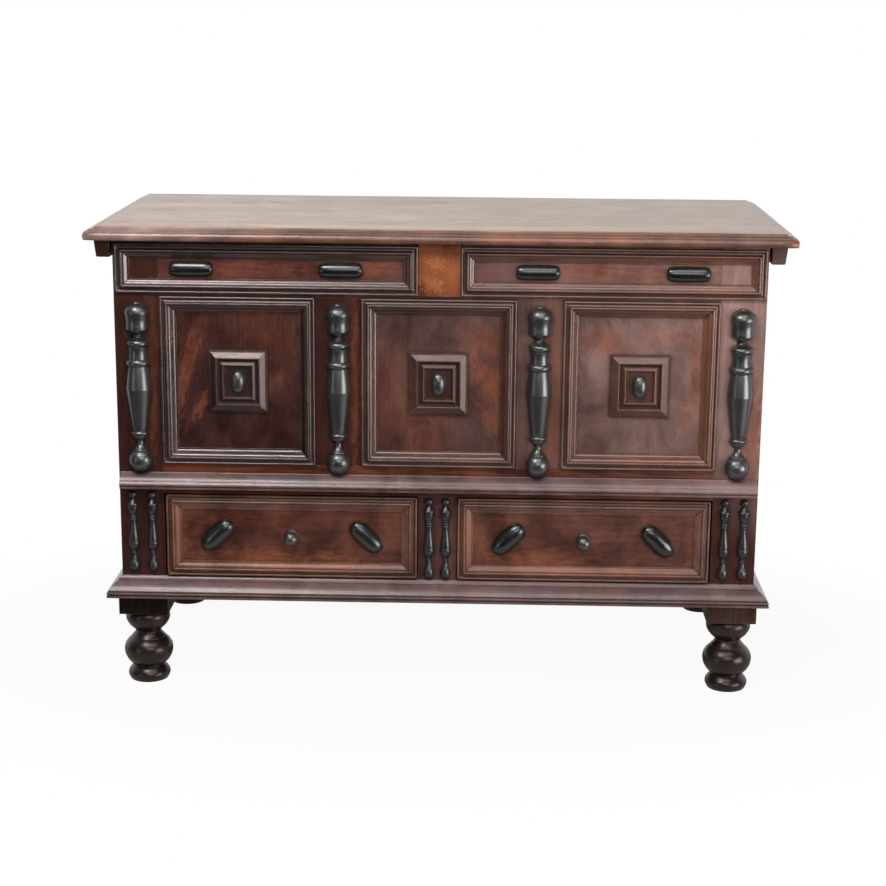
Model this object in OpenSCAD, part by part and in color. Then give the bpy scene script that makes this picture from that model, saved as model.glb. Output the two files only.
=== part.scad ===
// Storage chest of frame and panel construction, with a lift-up lid over a deep well and two
// drawers below it. The front carries mitred mouldings, split spindles and turned bosses.
// Lengths are in millimetres. X runs along the front, +Y to the back, and Z = 0 is the floor.

/* [Case] */
// Width of the case over its stiles
case_w = 1262; // [1200:2:1330]
// Depth of the case from its front face to its back face
case_d = 576; // [520:2:640]
// Height of the opening above the middle rail, which the panels fill
panel_open_h = 334.5; // [290:0.5:380]
// Height of the drawer opening
drawer_open_h = 170; // [155:1:190]
// Height of the top rail
top_rail_h = 109; // [105:0.5:118]
// Height of the middle rail, between panels and drawers
middle_rail_h = 60.5; // [55:0.5:76]
// Height of the bottom rail
bottom_rail_h = 42.5; // [40:0.5:57]
// Width of each corner stile on the front and the back
stile_w = 88; // [80:1:94]
// Depth of each corner stile on the case sides
stile_t = 50; // [42:1:60]
// Thickness of rails and muntins
rail_t = 24; // [22:1:28]
// Width of the muntins between the panels
muntin_w = 90; // [70:1:96]
// Width of the short stile between the drawers
divider_w = 77; // [68:1:90]
// Length of the rail tenons
tenon_l = 22; // [15:1:26]

/* [Panels] */
// Thickness of the panels, and of the tenons that share their grooves
panel_t = 10; // [8:0.5:11]
// How far the panels lie behind the faces of the rails
panel_set = 5; // [3:0.5:6]
// Depth of the grooves that hold the panels
groove_d = 7; // [5:0.5:8]

/* [Lid] */
// Thickness of the lid board
lid_t = 24.5; // [20:0.5:30]
// How far the lid stands past the front face of the case
lid_front = 29.5; // [22:0.5:36]
// How far the lid stands past each side of the case
lid_side = 56; // [46:1:64]
// How far the lid stands past the back face of the case
lid_back = 18; // [16:0.5:18]
// Width of the worked edge along the lid's front and ends
lid_edge_w = 24; // [18:0.5:27]
// Gap between the closed lid and the top of the case
lid_gap = 0.4; // [0.3:0.1:1]
// Width of the cleats under the lid's ends
cleat_w = 29.5; // [24:0.5:34]
// Height of the cleats
cleat_h = 34.5; // [28:0.5:38]
// Gap between each cleat and the side of the case
cleat_gap = 5.5; // [1.5:0.5:8]

/* [Mouldings] */
// Width of the moulding round each panel
panel_moulding_w = 32; // [28:0.5:38]
// Width of the moulding round the two upper fields
upper_moulding_w = 29; // [26:0.5:32]
// Height of the frames round the upper fields
upper_frame_h = 96.5; // [88:0.5:98]
// Height of the strip of rail between the upper frames and the panel frames
upper_frame_rise = 5.5; // [3:0.5:7]
// Width of the moulding on each drawer front
drawer_moulding_w = 31; // [26:0.5:36]
// How far the middle moulding stands out from the case
mid_moulding_p = 22; // [18:0.5:28]
// Height of the middle moulding
mid_moulding_h = 31; // [26:0.5:34]
// How far the middle moulding's top lies below the panels
mid_moulding_drop = 17; // [14:0.5:20]
// How far the middle moulding and the upper frames stop short of the case's corners
moulding_short = 3; // [1:0.5:6]
// How far the base moulding stands out from the case
base_moulding_p = 28.5; // [24:0.5:34]
// Height of the strip of rail over the base moulding
base_moulding_drop = 0.5; // [0.3:0.1:2]
// Gap left in each mitre
mitre_gap = 0.15; // [0.1:0.05:0.4]

/* [Ornaments] */
// Width of the plaque at the middle of the top rail
plaque_w = 82; // [70:1:100]
// Thickness of the plaque
plaque_t = 5; // [3:0.5:7]
// Width of the mitred ornament at the middle of each panel
ornament_w = 116; // [106:1:124]
// Height of that ornament
ornament_h = 124; // [114:1:134]
// Length, width and height of the long bosses in the upper fields
upper_boss = [84, 31, 13];
// Length, width and height of the oval bosses on the panels
panel_boss = [46, 30, 13];
// Length, width and height of the slanting bosses on the drawers
drawer_boss = [79, 40, 16];
// How blunt the bosses are in the upper fields, on the panels and on the drawers
upper_boss_fullness = 5; // [2:0.1:7]
panel_boss_fullness = 2.3; // [2:0.1:4]
drawer_boss_fullness = 3; // [2:0.1:5]
// Slant of the drawer bosses from the level, in degrees
drawer_boss_slant = 45; // [0:1:90]
// Distance between the two bosses in an upper field
upper_boss_gap = 289; // [240:1:320]
// Distance between a drawer's knob and each of its bosses
drawer_boss_gap = 148; // [120:1:160]
// Widest diameter of the large split spindles
large_spindle_dia = 50.8; // [40:0.2:58]
// Widest diameter of the small split spindles
small_spindle_dia = 22.8; // [18:0.2:26]
// Distance between the two small spindles on a corner stile
stile_pair_gap = 38; // [30:0.5:44]
// Distance between the two small spindles on the divider
divider_pair_gap = 33; // [29:0.5:40]
// Diameter of the ball of each drawer knob
knob_dia = 29.5; // [24:0.5:32]
// Height of each knob's stem, from the drawer's face to the foot of the ball
knob_stem = 6.5; // [5:0.5:12]

/* [Feet] */
// Height of the turned feet
foot_h = 149; // [130:0.5:165]
// Diameter of the ball of each foot
foot_dia = 98.4; // [84:0.2:106]
// Side of the square block above each foot
block_w = 98; // [90:0.5:108]
// Height of the blocks
block_h = 38; // [30:0.5:44]
// How far the blocks stand out past the front and back of the case
block_out = 12; // [6:0.5:18]
// How far the blocks stand out past the sides of the case
block_side_out = 7; // [2:0.5:12]
// Diameter of the round tenon on top of each foot
foot_tenon_dia = 25; // [18:0.5:32]

/* [Drawers] */
// Gap between a drawer front and the divider
drawer_gap = 1.5; // [0.6:0.1:3]
// Gap between a drawer front and the corner stile
drawer_outer_gap = 3.5; // [0.6:0.1:5]
// Gap over the drawer fronts
drawer_top_gap = 1.5; // [1:0.1:4]
// Gap under the drawer fronts
drawer_bottom_gap = 1; // [0.6:0.1:2]
// Thickness of the drawer fronts
drawer_front_t = 20; // [18:0.5:24]
// Thickness of the drawer sides and backs
drawer_side_t = 12; // [9:0.5:14]
// Thickness of the drawer bottoms
drawer_bottom_t = 8; // [5:0.5:9]
// Space between the closed drawers and the back of the case
drawer_space = 47; // [30:1:90]
// Wood left in front of the dovetails
dovetail_lap = 6; // [4:0.5:8]
// Number of dovetails at each corner of the drawer fronts
dovetails = 4; // [3:1:5]

/* [Hinges] */
// Distance between the two hinges, from middle to middle
hinge_gap = 800; // [500:10:940]
// Length of each hinge
hinge_l = 76; // [60:1:100]
// Width of each leaf in front of the case's back face
leaf_w = 22; // [20:0.5:23]
// Thickness of each leaf
leaf_t = 1.8; // [1.4:0.1:2.4]
// Diameter of the pins
pin_dia = 4; // [3:0.1:4.6]

/* [Hidden] */
$fn = 64;

// Finishes
walnut = [0.33, 0.19, 0.15];
dark_walnut = [0.24, 0.13, 0.11];
amber_wood = [0.47, 0.27, 0.15];
lid_brown = [0.52, 0.40, 0.33];
ebonised = [0.10, 0.11, 0.10];
plain_wood = [0.62, 0.45, 0.28];
brass = [0.72, 0.56, 0.27];

// Clearances
fit_gap = 0.2;
groove_play = 1;
past = 1;

// Levels, counted up from the floor
case_z0 = foot_h + block_h;
drawer_z0 = case_z0 + bottom_rail_h;
drawer_z1 = drawer_z0 + drawer_open_h;
panel_z0 = drawer_z1 + middle_rail_h;
panel_z1 = panel_z0 + panel_open_h;
case_z1 = panel_z1 + top_rail_h;
lid_z0 = case_z1 + lid_gap;

// Plan
case_half = case_w / 2;
stile_in = case_half - stile_w;
divider_half = divider_w / 2;
bay_w = (2 * stile_in - 2 * muntin_w) / 3;
muntin_x = (bay_w + muntin_w) / 2;
side_in = case_half - rail_t;
back_in = case_d - rail_t;
knob_reach = knob_stem + knob_dia;
front_reach = max(lid_front, knob_reach);
back_reach = case_d + lid_back;
front_y = -(back_reach - front_reach) / 2;

// Joints of the frame
groove_w = panel_t + fit_gap;
groove_y = [panel_set, panel_set + groove_w];
tongue_y = [panel_set, panel_set + panel_t];
tenon_shoulder = 10;
top_tenon = [panel_z1 + groove_d, case_z1 - tenon_shoulder];
middle_tenon = [drawer_z1 + tenon_shoulder, panel_z0 - groove_d];
bottom_tenon = [case_z0 + tenon_shoulder, drawer_z0 - tenon_shoulder];
rail_tenons = [top_tenon, middle_tenon, bottom_tenon];
divider_tenon_l = 18;
divider_shoulder = 12;
divider_tenon_half = divider_half - divider_shoulder;

// Fields and frames on the front
upper_z0 = panel_z1 + upper_frame_rise;
upper_w = case_half - moulding_short - plaque_w / 2;
upper_x = plaque_w / 2 + upper_w / 2;
upper_z = upper_z0 + upper_frame_h / 2;
plaque_top_gap = 0.5;
panel_z = (panel_z0 + panel_z1) / 2;
ornament_margin = 33;
ornament_face = 7;

// Ornaments beside the panels and the drawers
mid_top_z = panel_z0 - mid_moulding_drop;
mid_bottom_z = mid_top_z - mid_moulding_h;
large_spindle_rise = 0.5;
large_spindle_top_gap = 12;
large_spindle_z = mid_top_z + large_spindle_rise;
large_spindle_l = panel_z1 - large_spindle_top_gap - large_spindle_z;
small_spindle_short = 2.5;
small_spindle_l = drawer_open_h - small_spindle_short;
corner_spindle_rise = 6.5;
divider_spindle_rise = 0.3;

// Feet
block_x = case_half + block_side_out - block_w / 2;
block_y = [block_w / 2 - block_out, case_d + block_out - block_w / 2];
foot_tenon_cover = 8;
foot_tenon_l = block_h - foot_tenon_cover;

// Chest floor
floor_t = 14;
bearer_t = 24;
floor_rise = 42;
floor_z = drawer_z1 + floor_rise;
floor_boards = 5;
floor_play = 1;

// Drawer ways
runner_h = 30;
runner_lap = 36;
guide_t = 20;
guide_h = 22;
kicker_h = 18;
stop_w = 22;
stop_h = 28;
stop_gap = 0.3;

// Drawers
drawer_l = back_in - drawer_space;
drawer_x = (divider_half + drawer_gap + stile_in - drawer_outer_gap) / 2;
drawer_w = stile_in - divider_half - drawer_gap - drawer_outer_gap;
drawer_foot_z = drawer_z0 + drawer_bottom_gap;
drawer_h = drawer_open_h - drawer_bottom_gap - drawer_top_gap;
drawer_z = drawer_foot_z + drawer_h / 2;
runner_gap = 0.3;
drawer_side_foot = drawer_z0 + runner_gap;
drawer_side_drop = 8;
drawer_side_top = drawer_foot_z + drawer_h - drawer_side_drop;
drawer_floor_rise = 10;
drawer_floor_z = drawer_foot_z + drawer_floor_rise;
drawer_groove_d = drawer_side_t / 2;
drawer_back_in = 20;
drawer_back_y = drawer_l - drawer_back_in - drawer_side_t;
drawer_back_drop = 6;
tail_pitch = (drawer_side_top - drawer_foot_z) / dovetails;
tail_wide = 0.36 * tail_pitch;
tail_narrow = 0.27 * tail_pitch;

// Hinges
hinge_x = hinge_gap / 2;
barrel_r = 4;
barrel_y = case_d + barrel_r + 1;
hinge_z = case_z1 + lid_gap / 2;
leaf_play = 0.15;
knuckles = 5;
knuckle_l = hinge_l / knuckles;
knuckle_gap = 0.3;
pin_play = 0.05;
barrel_play = 0.6;
screw_r = 1.8;
screw_head_r = 3.6;
screw_head_l = 1.6;
screw_l = 14;
screw_play = 0.05;
screw_y = case_d - leaf_w / 2;
screw_places = [-0.37, 0, 0.37];

// A bar between two limits on each axis.
module bar(x, y, z) {
    translate([x[0], y[0], z[0]])
        cube([x[1] - x[0], y[1] - y[0], z[1] - z[0]]);
}

// Moves a piece drawn from the case's front face into the chest's own frame.
module placed() {
    translate([0, front_y, 0]) children();
}

// Draws a piece of the right-hand side, or its mirror image on the left.
module on_side(side) {
    mirror([side < 0 ? 1 : 0, 0, 0]) children();
}

// Turns a piece of the front to the back of the case.
module at_back() {
    translate([0, case_d, 0])
        mirror([0, 1, 0]) children();
}

function widened(range, by) = [range[0] - by, range[1] + by];

// Points along part of an ellipse.
function sweep_points(x, y, rx, ry, from, to, steps) = [
    for (i = [0:steps])
        let (a = from + (to - from) * i / steps)
        [x + rx * cos(a), y + ry * sin(a)]
];

// Points of a turned outline from one radius and height to another, with a bow outwards.
function turned(a, b, bow, steps) = [
    for (i = [1:steps])
        let (s = i / steps)
        [a[0] + (b[0] - a[0]) * s + bow * sin(180 * s), a[1] + (b[1] - a[1]) * s]
];

// Points of a turned outline that leaves and arrives level or upright, as an ogee does.
function ogee(a, b, steps) = [
    for (i = [1:steps])
        let (s = i / steps)
        [a[0] + (b[0] - a[0]) * (1 - cos(180 * s)) / 2, a[1] + (b[1] - a[1]) * s]
];

// A half-round ring of a turned outline, between two heights.
function ring(z0, z1, base_r, rise, steps) = [
    for (i = [0:steps])
        let (a = 180 * i / steps)
        [base_r + rise * sin(a), (z0 + z1) / 2 - (z1 - z0) / 2 * cos(a)]
];

// Stretches a turned outline to a radius and a length of its own.
function stretched(points, radius, length) = let (
        wide = max([for (p = points) p[0]]),
        long = max([for (p = points) p[1]])
    ) [for (p = points) [p[0] * radius / wide, p[1] * length / long]];

// Outline of a large split spindle, from the ball at its foot to its cap.
large_ball_r = 23.8;
large_ball_end = 52;
large_outline = concat(
    [[0, 0]],
    sweep_points(0, large_ball_r, large_ball_r, large_ball_r, -80, large_ball_end, 18),
    ring(43, 46, 14.2, 1.6, 5),
    turned([13.6, 46.6], [6, 60], -2, 6),
    turned([6, 60], [6.6, 65], -0.3, 3),
    turned([8.6, 65.6], [14.8, 74.4], 1.4, 5),
    ring(75, 83.2, 13.8, 4.4, 8),
    turned([14.6, 84.4], [25.4, 167], 0, 12),
    turned([25.4, 167], [19.8, 212.4], 0.7, 7),
    ring(213.4, 226.4, 18.8, 5.4, 9),
    turned([19, 227.8], [19, 251.2], -1.2, 6),
    ring(252.4, 264.6, 16.8, 5, 9),
    turned([15.4, 265.4], [7.6, 273.6], -1.4, 5),
    turned([7.6, 273.6], [9.6, 277.8], -0.5, 3),
    turned([9.6, 277.8], [22.6, 286], 1.6, 6),
    turned([23.2, 287.4], [24.8, 317], -1.8, 10),
    sweep_points(0, 318.4, 25, 20, 4, 68, 9),
    [[7.8, 339], [0, 339]]
);

// Outline of a small split spindle, from its teardrop foot to its button.
small_outline = concat(
    [[0, 0]],
    sweep_points(0, 12.6, 10.4, 12.6, -80, 0, 8),
    ogee([10.4, 12.6], [4.4, 36.4], 10),
    ring(37, 40.6, 4.4, 1.4, 5),
    ogee([4.6, 41.2], [10.8, 56.6], 8),
    turned([10.8, 56.6], [10.6, 64], 0.7, 5),
    ogee([10.6, 64], [5.4, 107], 13),
    ring(107.6, 112, 5.6, 2, 6),
    ring(112.4, 116.8, 5.6, 2, 6),
    turned([5, 117.6], [9.6, 136.4], 1.6, 8),
    ring(137, 143, 9.4, 2, 6),
    turned([9, 143.6], [3.8, 151.2], -0.6, 5),
    sweep_points(0, 159.4, 8.4, 8.1, -62, 80, 12),
    [[0, 167.5]]
);

// Outline of a foot, from the floor to the block: base, ball, shoulder, neck and collar.
foot_outline = concat(
    [[0, 0], [38, 0]],
    turned([38, 0], [33, 27.6], 6.8, 10),
    turned([33, 27.6], [31, 30.2], -0.4, 3),
    sweep_points(0, 63, 49.2, 42.2, -49, 0, 10),
    sweep_points(0, 63, 49.2, 35.3, 5, 43.3, 8),
    [[34.4, 88], [34.4, 89.6]],
    turned([34.4, 89.6], [25.2, 101.4], -0.8, 5),
    turned([25.2, 101.4], [26.4, 104.4], -0.5, 3),
    turned([27, 105], [44.2, 128.5], 3.1, 10),
    turned([44.2, 128.5], [38.6, 147.4], 2.4, 8),
    [[37.4, 149], [0, 149]]
);

// Section of the moulding round a field: x across it from the outer edge, y out of the face.
bead_w = 5.2;
cove_w = 5.5;
ridge_w = 4.6;
inner_fillet_w = 2.2;
foot_rise = 1.4;
bead_base = 3.4;
cove_base = 2.8;
ridge_base = 7.4;
quirk_base = 6.4;

function frame_section(width, base, foot) = let (
        cove_x = bead_w + 0.8,
        ridge_x = cove_x + cove_w,
        quirk_x = ridge_x + ridge_w,
        slope_x = quirk_x + 1.2,
        end_x = width - inner_fillet_w
    ) concat(
    [[0, base]],
    sweep_points(bead_w / 2, bead_base, bead_w / 2, bead_w / 2, 180, 0, 8),
    [for (i = [0:6]) let (a = 15 * i)
        [cove_x + cove_w * sin(a), cove_base + (ridge_base - cove_base) * (1 - cos(a))]],
    sweep_points(ridge_x + ridge_w / 2, ridge_base, ridge_w / 2, ridge_w / 2, 168, 0, 7),
    [[quirk_x + 0.3, quirk_base], [slope_x, quirk_base]],
    [for (i = [1:8]) let (s = i / 8)
        [slope_x + (end_x - slope_x) * s, quirk_base + (foot - quirk_base) * (1 - cos(180 * s)) / 2]],
    [[width, foot], [width, base]]
);

// Section of the ornament's moulding, measured from the panel's face.
ornament_section = [
    [0, 0], [0, 3.8], [2.6, 3.8], [3, 5.2], [4.6, 5.2], [14.6, 11.6], [16, 12], [17.2, 11.6],
    [20.8, 6.2], [22.8, 6.2], [23.2, 7.4], [28, 11.2], [29.2, 11.6], [30.2, 11.2],
    [ornament_margin, ornament_face], [ornament_margin, 0]
];

// Section of the middle moulding: x out of the case, y up from its lower edge.
function mid_section(p, h) = concat(
    [[0, 0], [p - 1.6, 0], [p - 1.6, 3.4], [p - 2.8, 4.2], [p - 2.8, 6], [p - 0.6, 6.6]],
    sweep_points(p - 2.2, 8.8, 2.2, 2.2, -45, 60, 5),
    turned([p - 2.6, 12.2], [3.2, h - 1.4], 2.4, 9),
    [[2.4, h], [0, h]]
);

// Section of the base moulding: x out of the case, y up from its lower edge.
function base_section(p, h) = concat(
    [[0, 0], [p - 1.4, 0], [p, 1.4], [p, 4.4], [p - 2.6, 5.6], [p - 2.6, 7]],
    sweep_points(p - 2.4, 9.4, 2.4, 2.4, -80, 80, 8),
    [[p - 3.4, 12.4], [p - 3.4, 14.2], [p - 2.4, 14.8]],
    turned([p - 2.4, 14.8], [8.4, h - 10.2], 1.6, 8),
    [[7, h - 9.8], [7, h - 8.2]],
    turned([7, h - 8.2], [1.6, h - 0.6], 0.8, 4),
    [[0, h]]
);

// The lid's worked edge: x in from the edge, y up from the underside. A sloping fillet lies
// between two small steps, over a rounded nose.
lid_fillet_w = 10;
lid_fillet_drop = 2.4;
lid_step = 1.8;
lid_nose_round = 3.4;

function lid_edge(t, w) = let (
        fillet_x = w - lid_fillet_w,
        fillet_y = t - lid_step - lid_fillet_drop,
        nose_x = fillet_x - 1,
        nose_y = 7
    ) concat(
    [[w, t], [w, t - lid_step], [fillet_x, fillet_y], [fillet_x, fillet_y - lid_step]],
    sweep_points(nose_x, nose_y, nose_x, fillet_y - lid_step - nose_y, 90, 180, 9),
    sweep_points(lid_nose_round, lid_nose_round, lid_nose_round, lid_nose_round, 180, 270, 4)
);

// Lays a section along X, with its x running down and its y out of the front.
module face_length(length, section) {
    rotate([180, 0, 0])
        rotate([0, -90, 0])
            linear_extrude(height = length, center = true)
                polygon(section);
}

// One length of moulding with mitred ends, its outer edge on the X axis.
module mitred_length(length, width, section) {
    half = length / 2 - mitre_gap / 2;
    reach = 60;
    intersection() {
        face_length(length, section);
        rotate([90, 0, 0])
            linear_extrude(height = reach, center = true)
                polygon([[-half, 0], [half, 0], [half - width, -width], [width - half, -width]]);
    }
}

// Four mitred lengths round a field.
module mitred_frame(w, h, width, section) {
    for (turn = [0, 180])
        rotate([0, turn, 0])
            translate([0, 0, h / 2])
                mitred_length(w, width, section);
    for (turn = [90, 270])
        rotate([0, turn, 0])
            translate([0, 0, w / 2])
                mitred_length(h, width, section);
}

// Half a turning, upright on the case's face, split side to the back.
module split_turning(outline) {
    rotate([0, 0, 180])
        rotate_extrude(angle = 180)
            polygon(outline);
}

// A boss turned on its long axis and cut flat along it, lying along X on the face.
// A greater fullness makes its sides straighter and its ends blunter.
module turned_boss(size, fullness) {
    half_w = size[1] / 2;
    turn_r = (half_w * half_w + size[2] * size[2]) / (2 * size[2]);
    sunk = turn_r - size[2];
    half_l = size[0] / 2 / pow(1 - pow(sunk / turn_r, fullness), 1 / fullness);
    steps = 14;
    outline = [
        for (i = [-steps:steps])
            let (a = 90 * i / steps, s = sin(a))
            [turn_r * pow(max(0, 1 - pow(abs(s), fullness)), 1 / fullness), half_l * s]
    ];
    intersection() {
        translate([0, sunk, 0])
            rotate([0, 90, 0])
                rotate_extrude() polygon(outline);
        bar([-size[0], size[0]], [-size[0], 0], [-size[0], size[0]]);
    }
}

// A corner stile of the right-hand side, drawn at the front.
module corner_stile(lower_groove) {
    edge = [stile_in - past, stile_in + groove_d];
    side_x = [case_half - panel_set - groove_w, case_half - panel_set];
    difference() {
        bar([stile_in, case_half], [0, stile_t], [case_z0, case_z1]);
        bar(edge, groove_y, widened([panel_z0, panel_z1], groove_d));
        if (lower_groove)
            bar(edge, groove_y, widened([drawer_z0, drawer_z1], groove_d));
        for (z = rail_tenons) {
            bar([stile_in - past, stile_in + tenon_l + fit_gap], groove_y, widened(z, fit_gap));
            bar(side_x, [stile_t - tenon_l - fit_gap, stile_t + past], widened(z, fit_gap));
        }
        for (z = [[panel_z0, panel_z1], [drawer_z0, drawer_z1]])
            bar(side_x, [stile_t - groove_d, stile_t + past], widened(z, groove_d));
    }
}

// A rail between the front stiles, with a tenon at each end.
module cross_rail(z, tenon_z, groove_below, groove_above) {
    difference() {
        bar([-stile_in, stile_in], [0, rail_t], z);
        if (groove_below)
            bar([-stile_in - past, stile_in + past], groove_y, [z[0] - past, z[0] + groove_d]);
        if (groove_above)
            bar([-stile_in - past, stile_in + past], groove_y, [z[1] - groove_d, z[1] + past]);
    }
    for (side = [-1, 1])
        on_side(side)
            bar([stile_in - past, stile_in + tenon_l], tongue_y, tenon_z);
}

// A rail of the right-hand side, between its two stiles.
module side_rail(z, tenon_z, groove_below, groove_above) {
    y = [stile_t, case_d - stile_t];
    side_x = [case_half - panel_set - groove_w, case_half - panel_set];
    difference() {
        bar([side_in, case_half], y, z);
        if (groove_below)
            bar(side_x, widened(y, past), [z[0] - past, z[0] + groove_d]);
        if (groove_above)
            bar(side_x, widened(y, past), [z[1] - groove_d, z[1] + past]);
    }
    bar([side_x[0] + fit_gap, side_x[1]], widened(y, tenon_l), tenon_z);
}

// A muntin between two rails of the front, with a stub tongue at each end.
module muntin(x, width, z, grooved) {
    half = width / 2;
    difference() {
        bar([x - half, x + half], [0, rail_t], z);
        if (grooved)
            for (side = [-1, 1])
                translate([x, 0, 0])
                    on_side(side) bar([half - groove_d, half + past], groove_y, widened(z, past));
    }
    bar([x - half + groove_d, x + half - groove_d], tongue_y, widened(z, groove_d - groove_play));
}

// A panel that fills an opening and stands in its grooves.
module grooved_panel(x, z) {
    tongue = groove_d - groove_play;
    bar(widened(x, tongue), tongue_y, widened(z, tongue));
}

module front_stile(side) {
    color(walnut) placed() on_side(side) corner_stile(false);
}

module rear_stile(side) {
    color(dark_walnut) placed() on_side(side) at_back() corner_stile(true);
}

module front_top_rail() {
    color(walnut) placed()
        cross_rail([panel_z1, case_z1], top_tenon, true, false);
}

module front_middle_rail() {
    color(amber_wood) placed() difference() {
        cross_rail([drawer_z1, panel_z0], middle_tenon, false, true);
        bar([-divider_tenon_half - fit_gap, divider_tenon_half + fit_gap], groove_y,
            [drawer_z1 - past, drawer_z1 + divider_tenon_l + fit_gap]);
    }
}

module front_bottom_rail() {
    color(walnut) placed() difference() {
        cross_rail([case_z0, drawer_z0], bottom_tenon, false, false);
        bar([-divider_tenon_half - fit_gap, divider_tenon_half + fit_gap], groove_y,
            [drawer_z0 - divider_tenon_l - fit_gap, drawer_z0 + past]);
    }
}

module front_muntins() {
    color(walnut) placed()
        for (side = [-1, 1])
            muntin(side * muntin_x, muntin_w, [panel_z0, panel_z1], true);
}

module drawer_divider() {
    color(walnut) placed() {
        bar([-divider_half, divider_half], [0, rail_t], [drawer_z0, drawer_z1]);
        bar([-divider_tenon_half, divider_tenon_half], tongue_y,
            [drawer_z0 - divider_tenon_l, drawer_z1 + divider_tenon_l]);
    }
}

module front_panel(place) {
    x = place * (bay_w + muntin_w);
    color(walnut) placed()
        grooved_panel([x - bay_w / 2, x + bay_w / 2], [panel_z0, panel_z1]);
}

// A thin plaque with eased edges.
module centre_plaque() {
    half = plaque_w / 2;
    ease = 1;
    color(amber_wood) placed()
        translate([0, 0, upper_z0])
            linear_extrude(height = case_z1 - plaque_top_gap - upper_z0)
                polygon([[-half, 0], [-half, ease - plaque_t], [ease - half, -plaque_t],
                    [half - ease, -plaque_t], [half, ease - plaque_t], [half, 0]]);
}

module upper_moulding(side) {
    color(dark_walnut) placed()
        translate([side * upper_x, 0, upper_z])
            mitred_frame(upper_w, upper_frame_h, upper_moulding_w,
                frame_section(upper_moulding_w, 0, foot_rise));
}

module panel_moulding(place) {
    color(dark_walnut) placed()
        translate([place * (bay_w + muntin_w), 0, panel_z])
            mitred_frame(bay_w, panel_open_h, panel_moulding_w,
                frame_section(panel_moulding_w, -panel_set, foot_rise - panel_set));
}

// A square block framed by four mitred mouldings, on the middle of each panel.
module square_ornaments() {
    block_half_w = ornament_w / 2 - ornament_margin - mitre_gap;
    block_half_h = ornament_h / 2 - ornament_margin - mitre_gap;
    color(walnut) placed()
        for (place = [-1:1])
            translate([place * (bay_w + muntin_w), panel_set, panel_z]) {
                mitred_frame(ornament_w, ornament_h, ornament_margin, ornament_section);
                bar([-block_half_w, block_half_w], [-ornament_face, 0], [-block_half_h, block_half_h]);
            }
}

module upper_bosses() {
    color(ebonised) placed()
        for (side = [-1, 1])
            for (step = [-1, 1])
                translate([side * upper_x + step * upper_boss_gap / 2, 0, upper_z])
                    turned_boss(upper_boss, upper_boss_fullness);
}

module panel_bosses() {
    color(ebonised) placed()
        for (place = [-1:1])
            translate([place * (bay_w + muntin_w), panel_set - ornament_face, panel_z])
                rotate([0, 90, 0]) turned_boss(panel_boss, panel_boss_fullness);
}

module large_split_spindles() {
    outline = stretched(large_outline, large_spindle_dia / 2, large_spindle_l);
    color(ebonised) placed()
        for (side = [-1, 1])
            for (x = [case_half - stile_w / 2, muntin_x])
                translate([side * x, 0, large_spindle_z])
                    split_turning(outline);
}

module small_split_spindles() {
    outline = stretched(small_outline, small_spindle_dia / 2, small_spindle_l);
    corner = case_half - stile_w / 2;
    places = [
        [corner - stile_pair_gap / 2, drawer_z0 + corner_spindle_rise],
        [corner + stile_pair_gap / 2, drawer_z0 + corner_spindle_rise],
        [divider_pair_gap / 2, drawer_z0 + divider_spindle_rise]
    ];
    color(ebonised) placed()
        for (side = [-1, 1])
            for (place = places)
                translate([side * place[0], 0, place[1]])
                    split_turning(outline);
}

// A straight moulding between the panels and the drawers, cut square at its ends.
module mid_moulding() {
    color(walnut) placed()
        translate([0, 0, mid_bottom_z])
            rotate([90, 0, -90])
                linear_extrude(height = case_w - 2 * moulding_short, center = true)
                    polygon(mid_section(mid_moulding_p, mid_moulding_h));
}

// The base moulding: a length along the front, mitred to a return on each side.
module base_moulding() {
    section = base_section(base_moulding_p, bottom_rail_h - base_moulding_drop);
    outer = case_half + base_moulding_p;
    tall = bottom_rail_h + 2 * past;
    color(walnut) placed()
        translate([0, 0, case_z0]) {
            intersection() {
                rotate([90, 0, -90])
                    linear_extrude(height = 2 * outer, center = true) polygon(section);
                translate([0, 0, -past])
                    linear_extrude(height = tall)
                        polygon([[-case_half, 0], [case_half, 0], [outer, -base_moulding_p],
                            [-outer, -base_moulding_p]]);
            }
            for (side = [-1, 1])
                on_side(side)
                    intersection() {
                        translate([case_half, case_d / 2, 0])
                            rotate([90, 0, 0])
                                linear_extrude(height = 2 * case_d, center = true) polygon(section);
                        translate([0, mitre_gap, -past])
                            linear_extrude(height = tall)
                                polygon([[case_half, 0], [outer, -base_moulding_p],
                                    [outer, case_d - mitre_gap], [case_half, case_d - mitre_gap]]);
                    }
        }
}

module side_rails(side) {
    color(dark_walnut) placed() on_side(side) {
        side_rail([panel_z1, case_z1], top_tenon, true, false);
        side_rail([drawer_z1, panel_z0], middle_tenon, true, true);
        side_rail([case_z0, drawer_z0], bottom_tenon, false, true);
    }
}

module side_panels(side) {
    tongue = groove_d - groove_play;
    x = [case_half - panel_set - panel_t, case_half - panel_set];
    y = widened([stile_t, case_d - stile_t], tongue);
    color(dark_walnut) placed() on_side(side) {
        bar(x, y, widened([panel_z0, panel_z1], tongue));
        bar(x, y, widened([drawer_z0, drawer_z1], tongue));
    }
}

// A countersunk screw with its head's face at the origin and its point down.
module screw(play) {
    translate([0, 0, -screw_head_l])
        cylinder(h = screw_head_l, r1 = screw_r + play, r2 = screw_head_r + play);
    translate([0, 0, -screw_l - play])
        cylinder(h = screw_l + play - screw_head_l / 2, r = screw_r + play);
}

// The screws of both hinges, through the lower leaves and down into the rail.
module rail_screws(play) {
    for (side = [-1, 1])
        for (place = screw_places)
            translate([side * hinge_x + place * hinge_l, screw_y, hinge_z - leaf_play])
                screw(play);
}

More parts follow.
